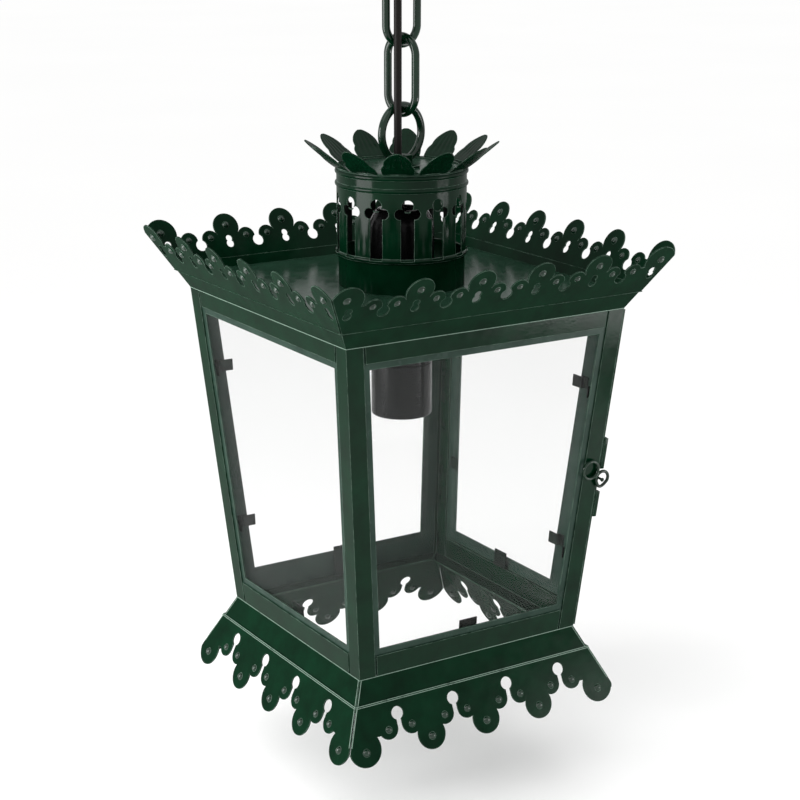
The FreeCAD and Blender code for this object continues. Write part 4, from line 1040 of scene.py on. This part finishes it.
class LANTERN_OT_seams(bpy.types.Operator):
    """Lay the fine pale beads along the folded edges of cornice and skirt, partly as worn paint and partly as
    painted highlights of the light caught on those edges
    """

    bl_idname = "lantern.seams"
    bl_label = "Seam Beads"

    def square(self, name, half, height, tone):
        """A bead round the lantern at one level."""
        points = []
        for turn in range(4):
            spin = Matrix.Rotation(math.radians(90 * turn), 3, "Z")
            points += [spin @ Vector((half, half * k / 6, height)) for k in range(-6, 6)]
        return finished(wired(name, points, sizes().solder_and_highlight_bead, True), finish(tone), "lantern", "paint")

    def lap(self, name, half, level, lap, lean, up, tone):
        """A bead along a strip lapped on a leaning band; gives its half width and level."""
        a = math.radians(lean)
        lip_half = half + lap * math.sin(a) + sizes().strip * math.cos(a)
        lip_level = level + up * (lap * math.cos(a) - sizes().strip * math.sin(a))
        self.square(name, lip_half, lip_level, tone)
        return lip_half, lip_level

    def corners(self, name, half_low, low, half_high, high):
        """Two beads up each corner, one on either sheet, from one square level to another."""
        rods = []
        apart = 1.3 * MM
        for turn in range(4):
            spin = Matrix.Rotation(math.radians(90 * turn), 3, "Z")
            for back_x, back_y in ((apart, 0.0), (0.0, apart)):
                start = spin @ Vector((half_low - back_x, half_low - back_y, low))
                end = spin @ Vector((half_high - back_x, half_high - back_y, high))
                run = end - start
                turn_to_run = run.to_track_quat("Z", "Y").to_euler()
                rods.append(rod(name, 12, (start + end) / 2, sizes().solder_and_highlight_bead, run.length, turn_to_run))
        obj = joined(rods, name)
        bevelled(obj, 0.15 * MM, 60)
        return finished(smoothed(obj, 50), finish("edge"), "lantern", "paint")

    def execute(self, context):
        size = sizes()
        # Partly painted highlight: pale beads at the cornice's foot and round the skirt, standing partly for worn
        # paint and partly for light caught on the edges.
        self.square("cornice_foot_bead", size.body_top_half, BODY_TOP, "edge")
        self.square("skirt_head_bead", size.body_bottom_half, BODY_BOTTOM, "edge")
        self.lap("gallery_lap_bead", size.body_top_half, BODY_TOP, GALLERY_LAP, GALLERY_LEAN, 1, "cornice")
        half = size.body_bottom_half
        lap = SKIRT_LAP
        lean = math.radians(SKIRT_LEAN)
        lip_half, lip_level = self.lap("skirt_lap_bead", half, BODY_BOTTOM, lap, SKIRT_LEAN, -1, "edge")
        self.lap("skirt_fold_bead", half, BODY_BOTTOM, lap + 1.1 * MM, SKIRT_LEAN, -1, "edge")
        lap_half = half + lap * math.sin(lean)
        self.corners("skirt_band_seams", half, BODY_BOTTOM, lap_half, BODY_BOTTOM - lap * math.cos(lean))
        rest = 24.7 * MM
        end_half = lip_half + rest * math.sin(lean)
        self.corners("skirt_strip_seams", lip_half, lip_level, end_half, lip_level - rest * math.cos(lean))
        return {"FINISHED"}


class LANTERN_OT_stage(bpy.types.Operator):
    """Set the pale floor, the soft lights and the camera"""

    bl_idname = "lantern.stage"
    bl_label = "Stage"

    def most(self, tree, one, two):
        """The larger of two values."""
        node = tree.nodes.new("ShaderNodeMath")
        node.operation = "MAXIMUM"
        tree.links.new(one, node.inputs[0])
        tree.links.new(two, node.inputs[1])
        return node.outputs["Value"]

    def soft_light(self, name, place, wide, high, power):
        """A soft box turned to the lantern's axis at its own height."""
        aim = Vector((0, 0, place[2]))
        data = bpy.data.lights.new(name, "AREA")
        data.shape = "RECTANGLE"
        data.size = wide
        data.size_y = high
        data.energy = power
        light = bpy.data.objects.new(name, data)
        bpy.context.scene.collection.objects.link(light)
        light.visible_camera = False
        light.location = place
        light.rotation_euler = (aim - Vector(place)).to_track_quat("-Z", "Y").to_euler()

    def execute(self, context):
        scene = context.scene
        deselect()
        bpy.ops.mesh.primitive_plane_add(size=30.0, location=(0, 0, CAD_BOX[0].z - 60.0 * MM))
        floor = settled(made("studio_floor"))
        material, tree, shader, place = finish_tree("floor_paint")
        cloud = noise(tree, place, 1.5, 2.0)
        pale = tuple(colours().floor)
        paler = tuple(min(1.0, 1.01 * c) for c in pale)
        tone = ramp(tree, cloud, ((0.3, pale), (0.7, paler)))
        tree.links.new(tone, shader.inputs["Base Color"])
        shader.inputs["Roughness"].default_value = 0.9
        shader.inputs["Specular IOR Level"].default_value = 0.0
        floor.data.materials.append(material)

        world = bpy.data.worlds.new("studio")
        scene.world = world
        world.use_nodes = True
        tree = world.node_tree
        # White where it is seen or mirrored, a little less where it lights
        seen = tree.nodes.new("ShaderNodeLightPath")
        level = self.most(tree, seen.outputs["Is Camera Ray"], seen.outputs["Is Glossy Ray"])
        level = self.most(tree, level, seen.outputs["Is Transmission Ray"])
        shade = ramp(tree, level, ((0.0, grey(0.87)), (1.0, grey(1.0))))
        tree.links.new(shade, tree.nodes["Background"].inputs["Color"])

        middle = (BODY_TOP + BODY_BOTTOM) / 2
        self.soft_light("left_box", (-0.79, 0.14, middle + 0.16), wide=0.46, high=0.62, power=7.0)
        self.soft_light("right_box", (0.56, -0.58, middle - 0.04), wide=0.34, high=0.22, power=1.8)
        data = bpy.data.lights.new("top_light", "SUN")
        data.energy = 0.52
        data.angle = math.radians(42.0)
        sun = bpy.data.objects.new("top_light", data)
        scene.collection.objects.link(sun)
        sun.rotation_euler = Vector((-0.55, -0.25, 0.95)).to_track_quat("Z", "Y").to_euler()

        level = math.cos(CAMERA_ELEVATION)
        back = Vector((math.sin(CAMERA_AZIMUTH) * level, -math.cos(CAMERA_AZIMUTH) * level, 0))
        back.z = math.sin(CAMERA_ELEVATION)
        data = bpy.data.cameras.new("photo_camera")
        data.sensor_width = 36.0
        data.lens = data.sensor_width * FOCAL_PIXELS / PHOTO_PIXELS
        data.shift_x = SHIFT_X_PIXELS / PHOTO_PIXELS
        data.shift_y = SHIFT_Y_PIXELS / PHOTO_PIXELS
        data.clip_start = 0.01
        camera = bpy.data.objects.new("photo_camera", data)
        scene.collection.objects.link(camera)
        camera.location = Vector((0, 0, middle)) + back * CAMERA_DISTANCE
        camera.rotation_euler = back.to_track_quat("Z", "Y").to_euler()
        scene.camera = camera
        scene.view_settings.view_transform = "Standard"
        return {"FINISHED"}


OPERATORS = (
    LANTERN_OT_finishes,
    LANTERN_OT_stage,
    LANTERN_OT_cable,
    LANTERN_OT_chain,
    LANTERN_OT_crown,
    LANTERN_OT_chimney,
    LANTERN_OT_gallery,
    LANTERN_OT_skirt,
    LANTERN_OT_lampholder,
    LANTERN_OT_latch,
    LANTERN_OT_ceiling,
    LANTERN_OT_seams,
)


class LANTERN_PT_panel(bpy.types.Panel):
    """Lists the lantern's pieces and its sizes and colours"""

    bl_idname = "LANTERN_PT_panel"
    bl_label = "Lantern"
    bl_space_type = "VIEW_3D"
    bl_region_type = "UI"
    bl_category = "Lantern"

    def draw(self, context):
        layout = self.layout
        for operator in OPERATORS:
            layout.operator(operator.bl_idname)
        for group in (context.scene.lantern_sizes, context.scene.lantern_colours):
            box = layout.box()
            for key in group.__annotations__:
                box.prop(group, key)


CLASSES = (LanternSizes, LanternColours) + OPERATORS + (LANTERN_PT_panel,)


def register():
    for cls in CLASSES:
        bpy.utils.register_class(cls)
    bpy.types.Scene.lantern_sizes = bpy.props.PointerProperty(type=LanternSizes)
    bpy.types.Scene.lantern_colours = bpy.props.PointerProperty(type=LanternColours)


def unregister():
    del bpy.types.Scene.lantern_colours
    del bpy.types.Scene.lantern_sizes
    for cls in reversed(CLASSES):
        bpy.utils.unregister_class(cls)


def main():
    register()
    bpy.ops.lantern.finishes()
    bpy.ops.lantern.stage()
    bpy.ops.lantern.cable()
    bpy.ops.lantern.chain()
    bpy.ops.lantern.crown()
    bpy.ops.lantern.chimney()
    bpy.ops.lantern.gallery()
    bpy.ops.lantern.skirt()
    bpy.ops.lantern.lampholder()
    bpy.ops.lantern.latch()
    bpy.ops.lantern.ceiling()
    bpy.ops.lantern.seams()


if __name__ == "__main__":
    main()
